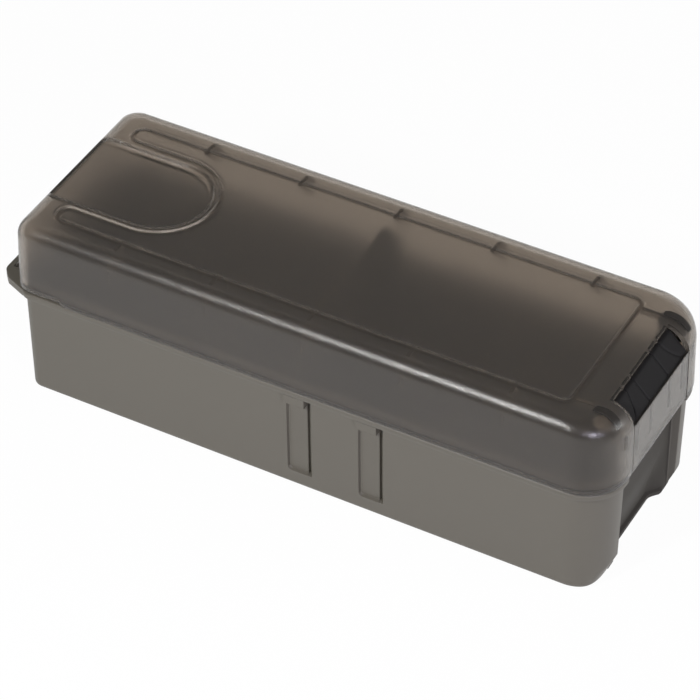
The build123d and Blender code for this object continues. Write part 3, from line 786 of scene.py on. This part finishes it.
def hexed(text):
    """sRGB hex colour as a linear RGBA tuple."""
    value = np.array([int(text[i : i + 2], 16) for i in (1, 3, 5)]) / 255.0
    linear = np.where(value <= 0.04045, value / 12.92, ((value + 0.055) / 1.055) ** 2.4)
    return (*linear.tolist(), 1.0)


def add_node(tree, kind, settings=(), inputs=(), links=()):
    """Adds a shader node with its settings, input values and links (input, from node, output)."""
    node = tree.nodes.new(kind)
    for name, value in dict(settings).items():
        setattr(node, name, value)
    for name, value in dict(inputs).items():
        node.inputs[name].default_value = value
    for name, source, output in links:
        tree.links.new(source.outputs[output], node.inputs[name])
    return node


def start_material(name):
    """Empty node material with its output."""
    material = bpy.data.materials.new(name)
    material.use_nodes = True
    material.node_tree.nodes.clear()
    output = material.node_tree.nodes.new("ShaderNodeOutputMaterial")
    return material, material.node_tree, output


def moulded_grain(tree, grain_mm, height_mm):
    """Bump of a spark-eroded mould face, in object coordinates: fine rounded grains of the given
    width and height."""
    place = add_node(tree, "ShaderNodeTexCoord")
    grain = add_node(
        tree, "ShaderNodeTexNoise",
        inputs={"Scale": 1.0 / (grain_mm * MM), "Detail": 2.0, "Roughness": 0.6},
        links=[("Vector", place, "Object")],
    )
    return add_node(
        tree, "ShaderNodeBump",
        inputs={"Strength": 1.0, "Distance": height_mm * MM},
        links=[("Height", grain, "Fac")],
    )


def finish_material(name, inputs, grain=None):
    """Material of one shader with the given inputs and, where it has one, the given grain as
    (width, height) in millimetres."""
    material, tree, output = start_material(name)
    links = [("Normal", moulded_grain(tree, *grain), "Normal")] if grain else []
    shader = add_node(tree, "ShaderNodeBsdfPrincipled", inputs=inputs, links=links)
    tree.links.new(shader.outputs["BSDF"], output.inputs["Surface"])
    return material


def smoked_plastic(name, tint, roughness, grain_height):
    """Smoked polypropylene, moulded in a spark-eroded tool: clear grey-brown plastic with a
    little haze. The outer face's grain makes the highlights sparkle, and the inner face, left
    rougher by the tool's core, blurs what lies behind the wall. A thick section, such as a boss
    or a rib seen along its depth, takes up more light and gets a darker tint."""
    inputs = {
        "Base Color": hexed(tint), "Roughness": roughness, "IOR": POLYPROPYLENE_IOR,
        "Transmission Weight": LID_CLEARNESS,
    }
    return finish_material(name, inputs, (LID_GRAIN, grain_height))


def opaque_plastic(name, colour, roughness):
    """Filled polypropylene with a moulded face. The tray is an even, warm grey and slightly
    glossy. Its finger recess has a coarser, matt face, and its colour is painted darker as
    painted shade for the shade that falls in the recess. The grooves over the flap's ribs are
    near black, partly for the thick smoked plastic of the ribs and partly as painted shade."""
    inputs = {"Base Color": hexed(colour), "Roughness": roughness, "IOR": POLYPROPYLENE_IOR}
    return finish_material(name, inputs, (TRAY_GRAIN, TRAY_GRAIN_HEIGHT))


def acetal(name, colour):
    """Acetal, turned or moulded: smooth plastic with a soft shine, grey on the latch pin and
    near black on its cap."""
    inputs = {"Base Color": hexed(colour), "Roughness": 0.35, "IOR": ACETAL_IOR}
    return finish_material(name, inputs)


def drawn_steel():
    """Drawn stainless wire: bright grey metal, its shine softened by the drawing die."""
    inputs = {"Base Color": hexed("#B9BABC"), "Roughness": 0.32, "Metallic": 1.0}
    return finish_material("drawn_steel", inputs)



def seen_through(tree):
    """Light path node, and a value of 1 where the camera sees a surface straight or through the
    smoked plastic. It is 0 once a matt surface has scattered the light, so the white that
    follows this value doesn't light the box."""
    path = add_node(tree, "ShaderNodeLightPath")
    unscattered = add_node(
        tree, "ShaderNodeMath", settings={"operation": "LESS_THAN"}, inputs={1: 0.5},
        links=[(0, path, "Diffuse Depth")],
    )
    through = add_node(
        tree, "ShaderNodeMath", settings={"operation": "MULTIPLY"},
        links=[(0, path, "Is Transmission Ray"), (1, unscattered, "Value")],
    )
    seen = add_node(
        tree, "ShaderNodeMath", settings={"operation": "MAXIMUM"},
        links=[(0, path, "Is Camera Ray"), (1, through, "Value")],
    )
    return path, seen


def white_sweep():
    """White floor. Where the camera sees it, straight, through the plastic or mirrored, it is
    almost plain white, and the small matt share that is left keeps the box's shadow. For all
    other light it is matt."""
    material, tree, output = start_material("white_sweep")
    path, seen = seen_through(tree)
    direct = add_node(
        tree, "ShaderNodeMath", settings={"operation": "MULTIPLY"}, inputs={1: WHITE_SEEN},
        links=[(0, seen, "Value")],
    )
    share = add_node(
        tree, "ShaderNodeMath", settings={"operation": "MULTIPLY_ADD"}, inputs={1: WHITE_MIRRORED},
        links=[(0, path, "Is Glossy Ray"), (2, direct, "Value")],
    )
    matt = add_node(tree, "ShaderNodeBsdfDiffuse", inputs={"Color": (0.95, 0.95, 0.95, 1.0)})
    glow = add_node(
        tree, "ShaderNodeEmission", inputs={"Color": (1.0, 1.0, 1.0, 1.0), "Strength": 1.0}
    )
    mix = add_node(
        tree, "ShaderNodeMixShader",
        links=[("Fac", share, "Value"), (1, matt, "BSDF"), (2, glow, "Emission")],
    )
    tree.links.new(mix.outputs["Shader"], output.inputs["Surface"])
    return material


def studio_sky(strength):
    """World that lights the box evenly at the given strength and is white behind it."""
    world = bpy.data.worlds.new("studio_sky")
    world.use_nodes = True
    tree = world.node_tree
    tree.nodes.clear()
    seen = seen_through(tree)[1]
    white = (1.0, 1.0, 1.0, 1.0)
    even = add_node(tree, "ShaderNodeBackground", inputs={"Color": white, "Strength": strength})
    behind = add_node(tree, "ShaderNodeBackground", inputs={"Color": white, "Strength": 1.0})
    mix = add_node(
        tree, "ShaderNodeMixShader",
        links=[("Fac", seen, "Value"), (1, even, "Background"), (2, behind, "Background")],
    )
    add_node(tree, "ShaderNodeOutputWorld", links=[("Surface", mix, "Shader")])
    return world


def paint(piece, *materials):
    """Gives a piece its material, and a walled piece a second one for its inner face."""
    piece.data.materials.clear()
    for material in materials:
        piece.data.materials.append(material)


def material_named(name):
    """One of the materials made earlier; a missing one stops the script."""
    found = bpy.data.materials.get(name)
    if found is None:
        raise RuntimeError(f"material {name} isn't made yet: run the materials operator first")
    return found


class TackleboxSizes(bpy.types.PropertyGroup):
    lid_wall: FloatProperty(
        name="Lid wall", description="Wall thickness of the smoked lid",
        default=1.8 * MM, unit="LENGTH", precision=5,
    )
    rail_height: FloatProperty(
        name="Rail height", description="Height of the low rail round the roof panel",
        default=0.35 * MM, unit="LENGTH", precision=5,
    )
    tongue_depth: FloatProperty(
        name="Tongue depth", description="Depth of the thumb tongue in the roof",
        default=1.6 * MM, unit="LENGTH", precision=5,
    )
    tongue_slope: FloatProperty(
        name="Tongue bank", description="Plan width of the tongue's sloping bank",
        default=1.6 * MM, unit="LENGTH", precision=5,
    )
    edge_round: FloatProperty(
        name="Edge rounding", description="Radius on moulded edges",
        default=0.25 * MM, unit="LENGTH", precision=5,
    )


class TackleboxFinish(bpy.types.PropertyGroup):
    lid_tint: StringProperty(
        name="Lid tint", description="Hex colour of the smoked plastic", default="#B6ADA3"
    )
    thick_tint: StringProperty(
        name="Thick tint", description="Hex colour of the smoked plastic in hub and boss discs",
        default="#1E1B18",
    )
    web_tint: StringProperty(
        name="Web tint", description="Hex colour of the smoked web over the flap's ribs",
        default="#7A6F62",
    )
    lid_roughness: FloatProperty(
        name="Lid roughness", description="Blur of the lid's outer face",
        default=0.23, min=0.0, max=1.0, subtype="FACTOR",
    )
    core_roughness: FloatProperty(
        name="Lid core side roughness", description="Blur of the lid's inner face",
        default=0.28, min=0.0, max=1.0, subtype="FACTOR",
    )
    thick_roughness: FloatProperty(
        name="Thick roughness", description="Blur of hub and boss discs",
        default=0.5, min=0.0, max=1.0, subtype="FACTOR",
    )
    base_colour: StringProperty(
        name="Tray colour", description="Hex colour of the grey plastic", default="#5D5950"
    )
    base_roughness: FloatProperty(
        name="Tray roughness", description="Blur of the tray's surface",
        default=0.42, min=0.0, max=1.0, subtype="FACTOR",
    )
    # The groove colour is near black, partly for the thick rib plastic and partly as painted shade
    # in the grooves over the flap's ribs.
    groove_shade_colour: StringProperty(
        name="Groove colour", description="Hex colour of the lines over the flap's ribs",
        default="#100E0D",
    )
    # The recess colour is darker than the tray's, as painted shade for the shade in the finger
    # recess.
    recess_shade_colour: StringProperty(
        name="Recess colour", description="Hex colour of the coarse, matt finger recess",
        default="#3E3B35",
    )
    recess_roughness: FloatProperty(
        name="Recess roughness", description="Blur of the matt finger recess and the grooves",
        default=0.8, min=0.0, max=1.0, subtype="FACTOR",
    )
    pin_colour: StringProperty(
        name="Pin colour", description="Hex colour of the latch pin", default="#A39F96"
    )
    cap_colour: StringProperty(
        name="Cap colour", description="Hex colour of the latch pin's cap", default="#1E1C1A"
    )


class TackleboxStudio(bpy.types.PropertyGroup):
    key_power: FloatProperty(
        name="Key light", description="Power of the soft key light", default=3.6, unit="POWER"
    )
    fill_power: FloatProperty(
        name="Fill light", description="Power of the fill light", default=3.6, unit="POWER"
    )
    side_power: FloatProperty(
        name="Side light", description="Power of the light on the latch end", default=1.8,
        unit="POWER",
    )
    sky: FloatProperty(
        name="Sky level", description="Strength of the even light all round", default=0.18,
        min=0.0,
    )


def sizes():
    """The size properties, in millimetres."""
    group = bpy.context.scene.tacklebox_sizes
    return {name: getattr(group, name) / MM for name in TackleboxSizes.__annotations__}


class TACKLEBOX_OT_materials(bpy.types.Operator):
    """Makes the plastics and the steel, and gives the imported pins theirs"""

    bl_idname = "tacklebox.materials"
    bl_label = "Materials"

    def execute(self, context):
        finish = context.scene.tacklebox_finish
        core, thick, matt = finish.core_roughness, finish.thick_roughness, finish.recess_roughness
        for name, tint, roughness, grain_height in (
            ("smoked_polypropylene", finish.lid_tint, finish.lid_roughness, LID_GRAIN_HEIGHT),
            ("smoked_polypropylene_core_side", finish.lid_tint, core, CORE_GRAIN_HEIGHT),
            ("smoked_polypropylene_web", finish.web_tint, core, CORE_GRAIN_HEIGHT),
            ("smoked_polypropylene_thick", finish.thick_tint, thick, CORE_GRAIN_HEIGHT),
        ):
            smoked_plastic(name, tint, roughness, grain_height)
        # painted shade: the grooves over the flap's ribs are near black, partly for the thick
        # plastic under them
        opaque_plastic("smoked_polypropylene_groove", finish.groove_shade_colour, matt)
        opaque_plastic("grey_polypropylene", finish.base_colour, finish.base_roughness)
        # painted shade: the finger recess takes a darker grey than the rest of the tray
        opaque_plastic("grey_polypropylene_matt", finish.recess_shade_colour, matt)
        for node, material in (
            ("latch_pin", acetal("acetal_grey", finish.pin_colour)),
            ("latch_pin_cap", acetal("acetal_black", finish.cap_colour)),
            ("hinge_pin", drawn_steel()),
        ):
            paint(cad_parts[node], material)
        return {"FINISHED"}


class TACKLEBOX_OT_lid(bpy.types.Operator):
    """Smoked lid shell with its roof rail, thumb tongue and latch window"""

    bl_idname = "tacklebox.lid"
    bl_label = "Lid shell"

    def execute(self, context):
        size = sizes()
        surface = lid_surface(size["rail_height"], size["tongue_depth"], size["tongue_slope"])
        shell = new_piece("lid_shell", *surface, "lid", "lid", replaces=["lid"])
        add_wall(shell, size["lid_wall"])
        soften(shell, size["edge_round"], angle=LID_EDGE_ANGLE)
        smoked = material_named("smoked_polypropylene")
        paint(shell, smoked, material_named("smoked_polypropylene_core_side"))
        return {"FINISHED"}


class TACKLEBOX_OT_lid_details(bpy.types.Operator):
    """Roof ribs, latch bosses with their gussets, and hinge knuckles"""

    bl_idname = "tacklebox.lid_details"
    bl_label = "Lid ribs, bosses and knuckles"

    def execute(self, context):
        size = sizes()
        wall = size["lid_wall"]
        under_roof = ROOF - wall
        inner_side = HALF_WIDTH - wall - (ROOF - SEAM) * LID_DRAFT
        root_y, root_z = inner_side + RIB_ROOT, under_roof + RIB_ROOT
        reach_y, reach_z = inner_side - ROOF_RIB_REACH, under_roof - ROOF_RIB_REACH
        rib_view = np.array([
            (root_y, reach_z), (root_y, under_roof - SIDE_ROUND + 1.0),
            (inner_side - 1.2, under_roof - 1.2), (inner_side - SIDE_ROUND + 1.0, root_z),
            (reach_y, root_z), (reach_y, under_roof - 0.6), (inner_side - 1.0, reach_z),
        ])
        ribs = []
        for number in range(GUIDE_COUNT):
            middle = ROOF_RIB_MIDDLE + GUIDE_PITCH * (number - (GUIDE_COUNT - 1) / 2)
            for side in (-1, 1):
                low, high = middle - GUIDE_THICKNESS / 2, middle + GUIDE_THICKNESS / 2
                ribs.append(prism(rib_view * (side, 1), low, high, "X"))
        bosses, gussets, knuckles = [], [], []
        boss_profile = np.array([
            (PIN_BORE, BOSS_INNER), (BOSS_NECK_RADIUS, BOSS_INNER), (BOSS_NECK_RADIUS, BOSS_DISC),
            (BOSS_RADIUS, BOSS_DISC), (BOSS_RADIUS, BOSS_OUTER), (POCKET_RADIUS, BOSS_OUTER),
            (POCKET_RADIUS, BOSS_OUTER - POCKET_DEPTH), (PIN_BORE, BOSS_OUTER - POCKET_DEPTH),
        ])
        roof_gusset = [
            (RAIL_RIGHT, root_z), (LATCH_X - 1.0, root_z), (LATCH_X - 1.0, LATCH_Z + 3.0),
            (LATCH_X - 4.0, LATCH_Z + 1.5), (RAIL_RIGHT, under_roof - 1.6),
        ]
        end_inner = HALF_LENGTH - wall
        end_gusset = [
            (LATCH_X + 1.0, LATCH_Z - BOSS_RADIUS + 0.2), (LATCH_X + 4.0, LATCH_Z - 1.0),
            (end_inner + 0.2, LATCH_Z - 4.0), (end_inner + 0.2, LATCH_Z - 8.0),
            (end_inner - 1.2, LATCH_Z - 8.0),
        ]
        arm_start, arm_end = -HALF_LENGTH + 0.1, -HALF_LENGTH + ARM_ROOT
        arm_foot = SEAM + HINGE_RELIEF
        arm_top = HINGE_Z + ARM_REACH * tan(radians(ARM_ANGLE))
        arm = arc(HINGE_X, HINGE_Z, KNUCKLE_RADIUS, ARM_ANGLE, 300, 20) + [
            (-HALF_LENGTH - ARM_ROOT, HINGE_Z - 0.1), (arm_start, arm_foot),
            (arm_end, arm_foot), (arm_end, arm_top), (arm_start, arm_top),
        ]
        for side in (-1, 1):
            bosses.append(y_lathe(boss_profile * (1, side), LATCH_X, LATCH_Z))
            middle = side * (BOSS_INNER + BOSS_OUTER) / 2
            for outline in (roof_gusset, end_gusset):
                low, high = middle - GUSSET_THICKNESS / 2, middle + GUSSET_THICKNESS / 2
                gussets.append(prism(outline, low, high, "Y"))
            knuckles.append(prism(arm, *sorted((side * KNUCKLE_INNER, side * KNUCKLE_OUTER)), "Y"))
        core_side = material_named("smoked_polypropylene_core_side")
        thick = material_named("smoked_polypropylene_thick")
        for name, parts, materials in (
            ("lid_roof_ribs", ribs, [core_side]), ("latch_bosses", bosses, [core_side, thick]),
            ("latch_boss_gussets", gussets, [core_side]), ("lid_knuckles", knuckles, [core_side]),
        ):
            piece = new_piece(name, *joined(parts), "lid", "lid")
            soften(piece, size["edge_round"])
            paint(piece, *materials)
            if thick in materials:
                # the discs are thick plastic, and the necks behind them aren't
                for face in piece.data.polygons:
                    face.material_index = int(abs(face.center.y) / MM > BOSS_DISC - 0.1)
        return {"FINISHED"}


class TACKLEBOX_OT_latch(bpy.types.Operator):
    """Latch flap: skin, hub, four ribs with a web over them, and the hook inside its lower edge"""

    bl_idname = "tacklebox.latch"
    bl_label = "Latch flap"

    def execute(self, context):
        size = sizes()
        smoked = material_named("smoked_polypropylene")
        core_side = material_named("smoked_polypropylene_core_side")
        thick = material_named("smoked_polypropylene_thick")
        surface = flap_surface()
        skin = new_piece("latch_flap_skin", *surface, "latch", "latch_flap", replaces=["latch_flap"])
        add_wall(skin, size["lid_wall"], rim_material=2)
        soften(skin, size["edge_round"])
        paint(skin, smoked, core_side, thick)
        end_inner = HALF_LENGTH - size["lid_wall"]
        root = end_inner + RIB_ROOT
        side_view = [
            (LATCH_X - 0.5, LATCH_Z - 2.3), (end_inner - 1.8, LATCH_Z - 7.5),
            (end_inner - 1.0, SEAM + 7.0), (root, SEAM + 6.0), (root, FLAP_TOP - 1.9),
            (end_inner - 0.8, FLAP_TOP - 1.3), (LATCH_X, LATCH_Z + 1.4),
        ]
        ribs = []
        for side in (-1, 1):
            for inner in (True, False):
                points, faces = prism(side_view, -LATCH_RIB / 2, LATCH_RIB / 2, "Y")
                points[:, 1] += side * (LATCH_RIB_Y if inner else flare(points[:, 0], end_inner))
                ribs.append((points, faces))
        hub_profile = [
            (PIN_BORE, -FLAP_HALF), (HUB_RADIUS, -FLAP_HALF), (HUB_RADIUS, FLAP_HALF),
            (PIN_BORE, FLAP_HALF),
        ]
        hub = y_lathe(hub_profile, LATCH_X, LATCH_Z)
        hook_view = [
            (end_inner + 0.2, SEAM + 0.6), (end_inner - HOOK_REACH, SEAM + 1.0),
            (end_inner - HOOK_REACH, SEAM + 1.5), (end_inner + 0.2, SEAM + 2.6),
        ]
        hook = prism(hook_view, -HOOK_HALF, HOOK_HALF, "Y")
        for name, parts, material in (
            ("latch_flap_ribs", ribs, core_side), ("latch_flap_hub", [hub], thick),
            ("latch_flap_hook", [hook], core_side),
        ):
            piece = new_piece(name, *joined(parts), "latch", "latch_flap")
            soften(piece, 0.6 * size["edge_round"])
            paint(piece, material)
        points, faces, in_groove = web_surface(end_inner)
        web = new_piece("latch_flap_web", points, faces, "latch", "latch_flap")
        add_wall(web, WEB_THICKNESS)
        # the sunk grooves are painted near black, partly for the thick rib plastic under them and
        # partly as painted shade
        groove = material_named("smoked_polypropylene_groove")
        paint(web, material_named("smoked_polypropylene_web"), groove)
        for face, sunk in zip(web.data.polygons, in_groove):
            face.material_index = int(sunk)
        return {"FINISHED"}


class TACKLEBOX_OT_tray(bpy.types.Operator):
    """Grey tray with its guides, catch bar and hinge ledge"""

    bl_idname = "tacklebox.tray"
    bl_label = "Base tray"

    def execute(self, context):
        size = sizes()
        grey = material_named("grey_polypropylene")
        surface = tray_surface()
        tray = new_piece("tray_shell", *surface, "base", "base_tray", replaces=["base_tray"])
        tray.data.set_sharp_from_angle(angle=radians(38))
        paint(tray, grey, material_named("grey_polypropylene_matt"))
        # the matt finish, whose darker colour is painted shade, covers the faces of the recess that
        # look towards the latch end
        for face in tray.data.polygons:
            centre = face.center / MM
            deep = RECESS_X - SCOOP_DEPTH - 1.0 < centre.x < RECESS_X + 0.3
            in_recess = deep and abs(centre.y) < RECESS_HALF and centre.z < SEAM
            face.material_index = int(in_recess and face.normal.x > 0.2)
        guides = []
        wall_y = HALF_WIDTH - INNER_INSET
        guide_view = np.array([
            (wall_y + GUIDE_ROOT, BASE_FLOOR - 0.5), (wall_y - GUIDE_DEPTH, BASE_FLOOR - 0.5),
            (wall_y - GUIDE_DEPTH, LIP_TOP - 3.5), (wall_y + GUIDE_ROOT, LIP_TOP - 3.0),
        ])
        beside = DIVIDER_THICKNESS / 2 + DIVIDER_GAP
        for number in range(GUIDE_COUNT):
            middle = DIVIDER_X + GUIDE_PITCH * (number - (GUIDE_COUNT - 1) / 2)
            for low in (middle - beside - GUIDE_THICKNESS, middle + beside):
                for side in (-1, 1):
                    guides.append(prism(guide_view * (side, 1), low, low + GUIDE_THICKNESS, "X"))
        catch_x = HALF_LENGTH - size["lid_wall"] - HOOK_REACH - HOOK_GAP
        catch_view = [
            (RECESS_X - 0.3, SEAM + 1.0), (RECESS_X, SEAM + 1.0), (catch_x, SEAM + 2.3),
            (catch_x, SEAM + 2.9), (RECESS_X, LIP_TOP), (RECESS_X - 0.3, LIP_TOP),
        ]
        catch = prism(catch_view, -HOOK_HALF, HOOK_HALF, "Y")
        end = KNUCKLE_INNER - KNUCKLE_GAP
        barrel_profile = [
            (HINGE_BORE, -end), (KNUCKLE_RADIUS, -end), (KNUCKLE_RADIUS, end), (HINGE_BORE, end)
        ]
        barrel = y_lathe(barrel_profile, HINGE_X, HINGE_Z)
        for name, parts in (
            ("divider_guides", guides), ("catch_bar", [catch]), ("hinge_barrel", [barrel])
        ):
            piece = new_piece(name, *joined(parts), "base", "base_tray")
            soften(piece, size["edge_round"])
            paint(piece, grey)
        ledge = new_piece("hinge_ledge", *ledge_surface(), "base", "base_tray")
        add_wall(ledge, LEDGE_THICKNESS)
        soften(ledge, 0.35)
        paint(ledge, grey)
        return {"FINISHED"}


class TACKLEBOX_OT_divider(bpy.types.Operator):
    """Lift-out divider standing in the middle pair of guides"""

    bl_idname = "tacklebox.divider"
    bl_label = "Divider"

    def execute(self, context):
        low, high = (Vector(corner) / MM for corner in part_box("center_divider"))
        narrow = (FLANGE_BOTTOM - BASE_FLOOR) * BASE_DRAFT
        corner_z = high.z - DIVIDER_CORNER
        outline = [
            (low.y + narrow, low.z), (high.y - narrow, low.z), (high.y, FLANGE_BOTTOM),
            (high.y, DIVIDER_SHOULDER),
            *arc(DIVIDER_TOP_HALF, corner_z, DIVIDER_CORNER, 50, 90, 6),
            *arc(-DIVIDER_TOP_HALF, corner_z, DIVIDER_CORNER, 90, 130, 6),
            (low.y, DIVIDER_SHOULDER), (low.y, FLANGE_BOTTOM),
        ]
        plate = prism(outline, low.x, high.x, "X")
        piece = new_piece(
            "divider_plate", *plate, "base", "center_divider", replaces=["center_divider"]
        )
        soften(piece, 0.3)
        paint(piece, material_named("grey_polypropylene"))
        return {"FINISHED"}


class TACKLEBOX_OT_stage(bpy.types.Operator):
    """White floor, even sky, soft lamps and the camera"""

    bl_idname = "tacklebox.stage"
    bl_label = "Studio and camera"

    def execute(self, context):
        scene = context.scene
        studio = scene.tacklebox_studio
        scene.world = studio_sky(studio.sky)
        scene.view_settings.view_transform = "Standard"

        # just under the feet, so that the two faces don't lie in one plane
        corners = [
            (x * FLOOR_REACH * MM, y * FLOOR_REACH * MM, -FLOOR_DROP * MM)
            for x, y in ((-1, -1), (1, -1), (1, 1), (-1, 1))
        ]
        mesh = bpy.data.meshes.new("floor")
        mesh.from_pydata(corners, [], [(0, 1, 2, 3)])
        floor = bpy.data.objects.new("floor", mesh)
        scene.collection.objects.link(floor)
        paint(floor, white_sweep())

        for name, place, aim, width, power, colour in LAMPS:
            data = bpy.data.lights.new(name, "AREA")
            data.shape = "SQUARE"
            data.size = width * MM
            data.energy = getattr(studio, power)
            data.color = hexed(colour)[:3]
            lamp = bpy.data.objects.new(name, data)
            scene.collection.objects.link(lamp)
            lamp.location = Vector(place) * MM
            towards = Vector(aim) - Vector(place)
            lamp.rotation_euler = towards.to_track_quat("-Z", "Y").to_euler()

        azimuth, elevation = radians(CAMERA_AZIMUTH), radians(CAMERA_ELEVATION)
        level = cos(elevation)
        away = Vector((sin(azimuth) * level, -cos(azimuth) * level, sin(elevation)))
        data = bpy.data.cameras.new("camera")
        data.sensor_width = SENSOR_WIDTH
        data.lens = FOCAL_PIXELS / PHOTO_PIXELS * SENSOR_WIDTH
        camera = bpy.data.objects.new("camera", data)
        scene.collection.objects.link(camera)
        camera.location = (Vector(CAMERA_TARGET) + away * CAMERA_DISTANCE) * MM
        camera.rotation_euler = (-away).to_track_quat("-Z", "Y").to_euler()
        scene.camera = camera
        return {"FINISHED"}


OPERATORS = (
    TACKLEBOX_OT_materials,
    TACKLEBOX_OT_lid,
    TACKLEBOX_OT_lid_details,
    TACKLEBOX_OT_latch,
    TACKLEBOX_OT_tray,
    TACKLEBOX_OT_divider,
    TACKLEBOX_OT_stage,
)


class TACKLEBOX_PT_panel(bpy.types.Panel):
    """Sizes, finishes and the steps that build the box"""

    bl_idname = "TACKLEBOX_PT_panel"
    bl_label = "Tackle utility box"
    bl_space_type = "VIEW_3D"
    bl_region_type = "UI"
    bl_category = "Tackle box"

    def draw(self, context):
        for name in ("tacklebox_sizes", "tacklebox_finish", "tacklebox_studio"):
            group = getattr(context.scene, name)
            for prop in group.__annotations__:
                self.layout.prop(group, prop)
        for operator in OPERATORS:
            self.layout.operator(operator.bl_idname)


GROUPS = {
    "tacklebox_sizes": TackleboxSizes,
    "tacklebox_finish": TackleboxFinish,
    "tacklebox_studio": TackleboxStudio,
}


def register():
    for kind in (*GROUPS.values(), *OPERATORS, TACKLEBOX_PT_panel):
        bpy.utils.register_class(kind)
    for name, kind in GROUPS.items():
        setattr(bpy.types.Scene, name, PointerProperty(type=kind))


def unregister():
    for name in GROUPS:
        delattr(bpy.types.Scene, name)
    for kind in reversed((*GROUPS.values(), *OPERATORS, TACKLEBOX_PT_panel)):
        bpy.utils.unregister_class(kind)


def main():
    register()
    for operator in OPERATORS:
        getattr(bpy.ops.tacklebox, operator.bl_idname.split(".")[1])()


if __name__ == "__main__":
    main()
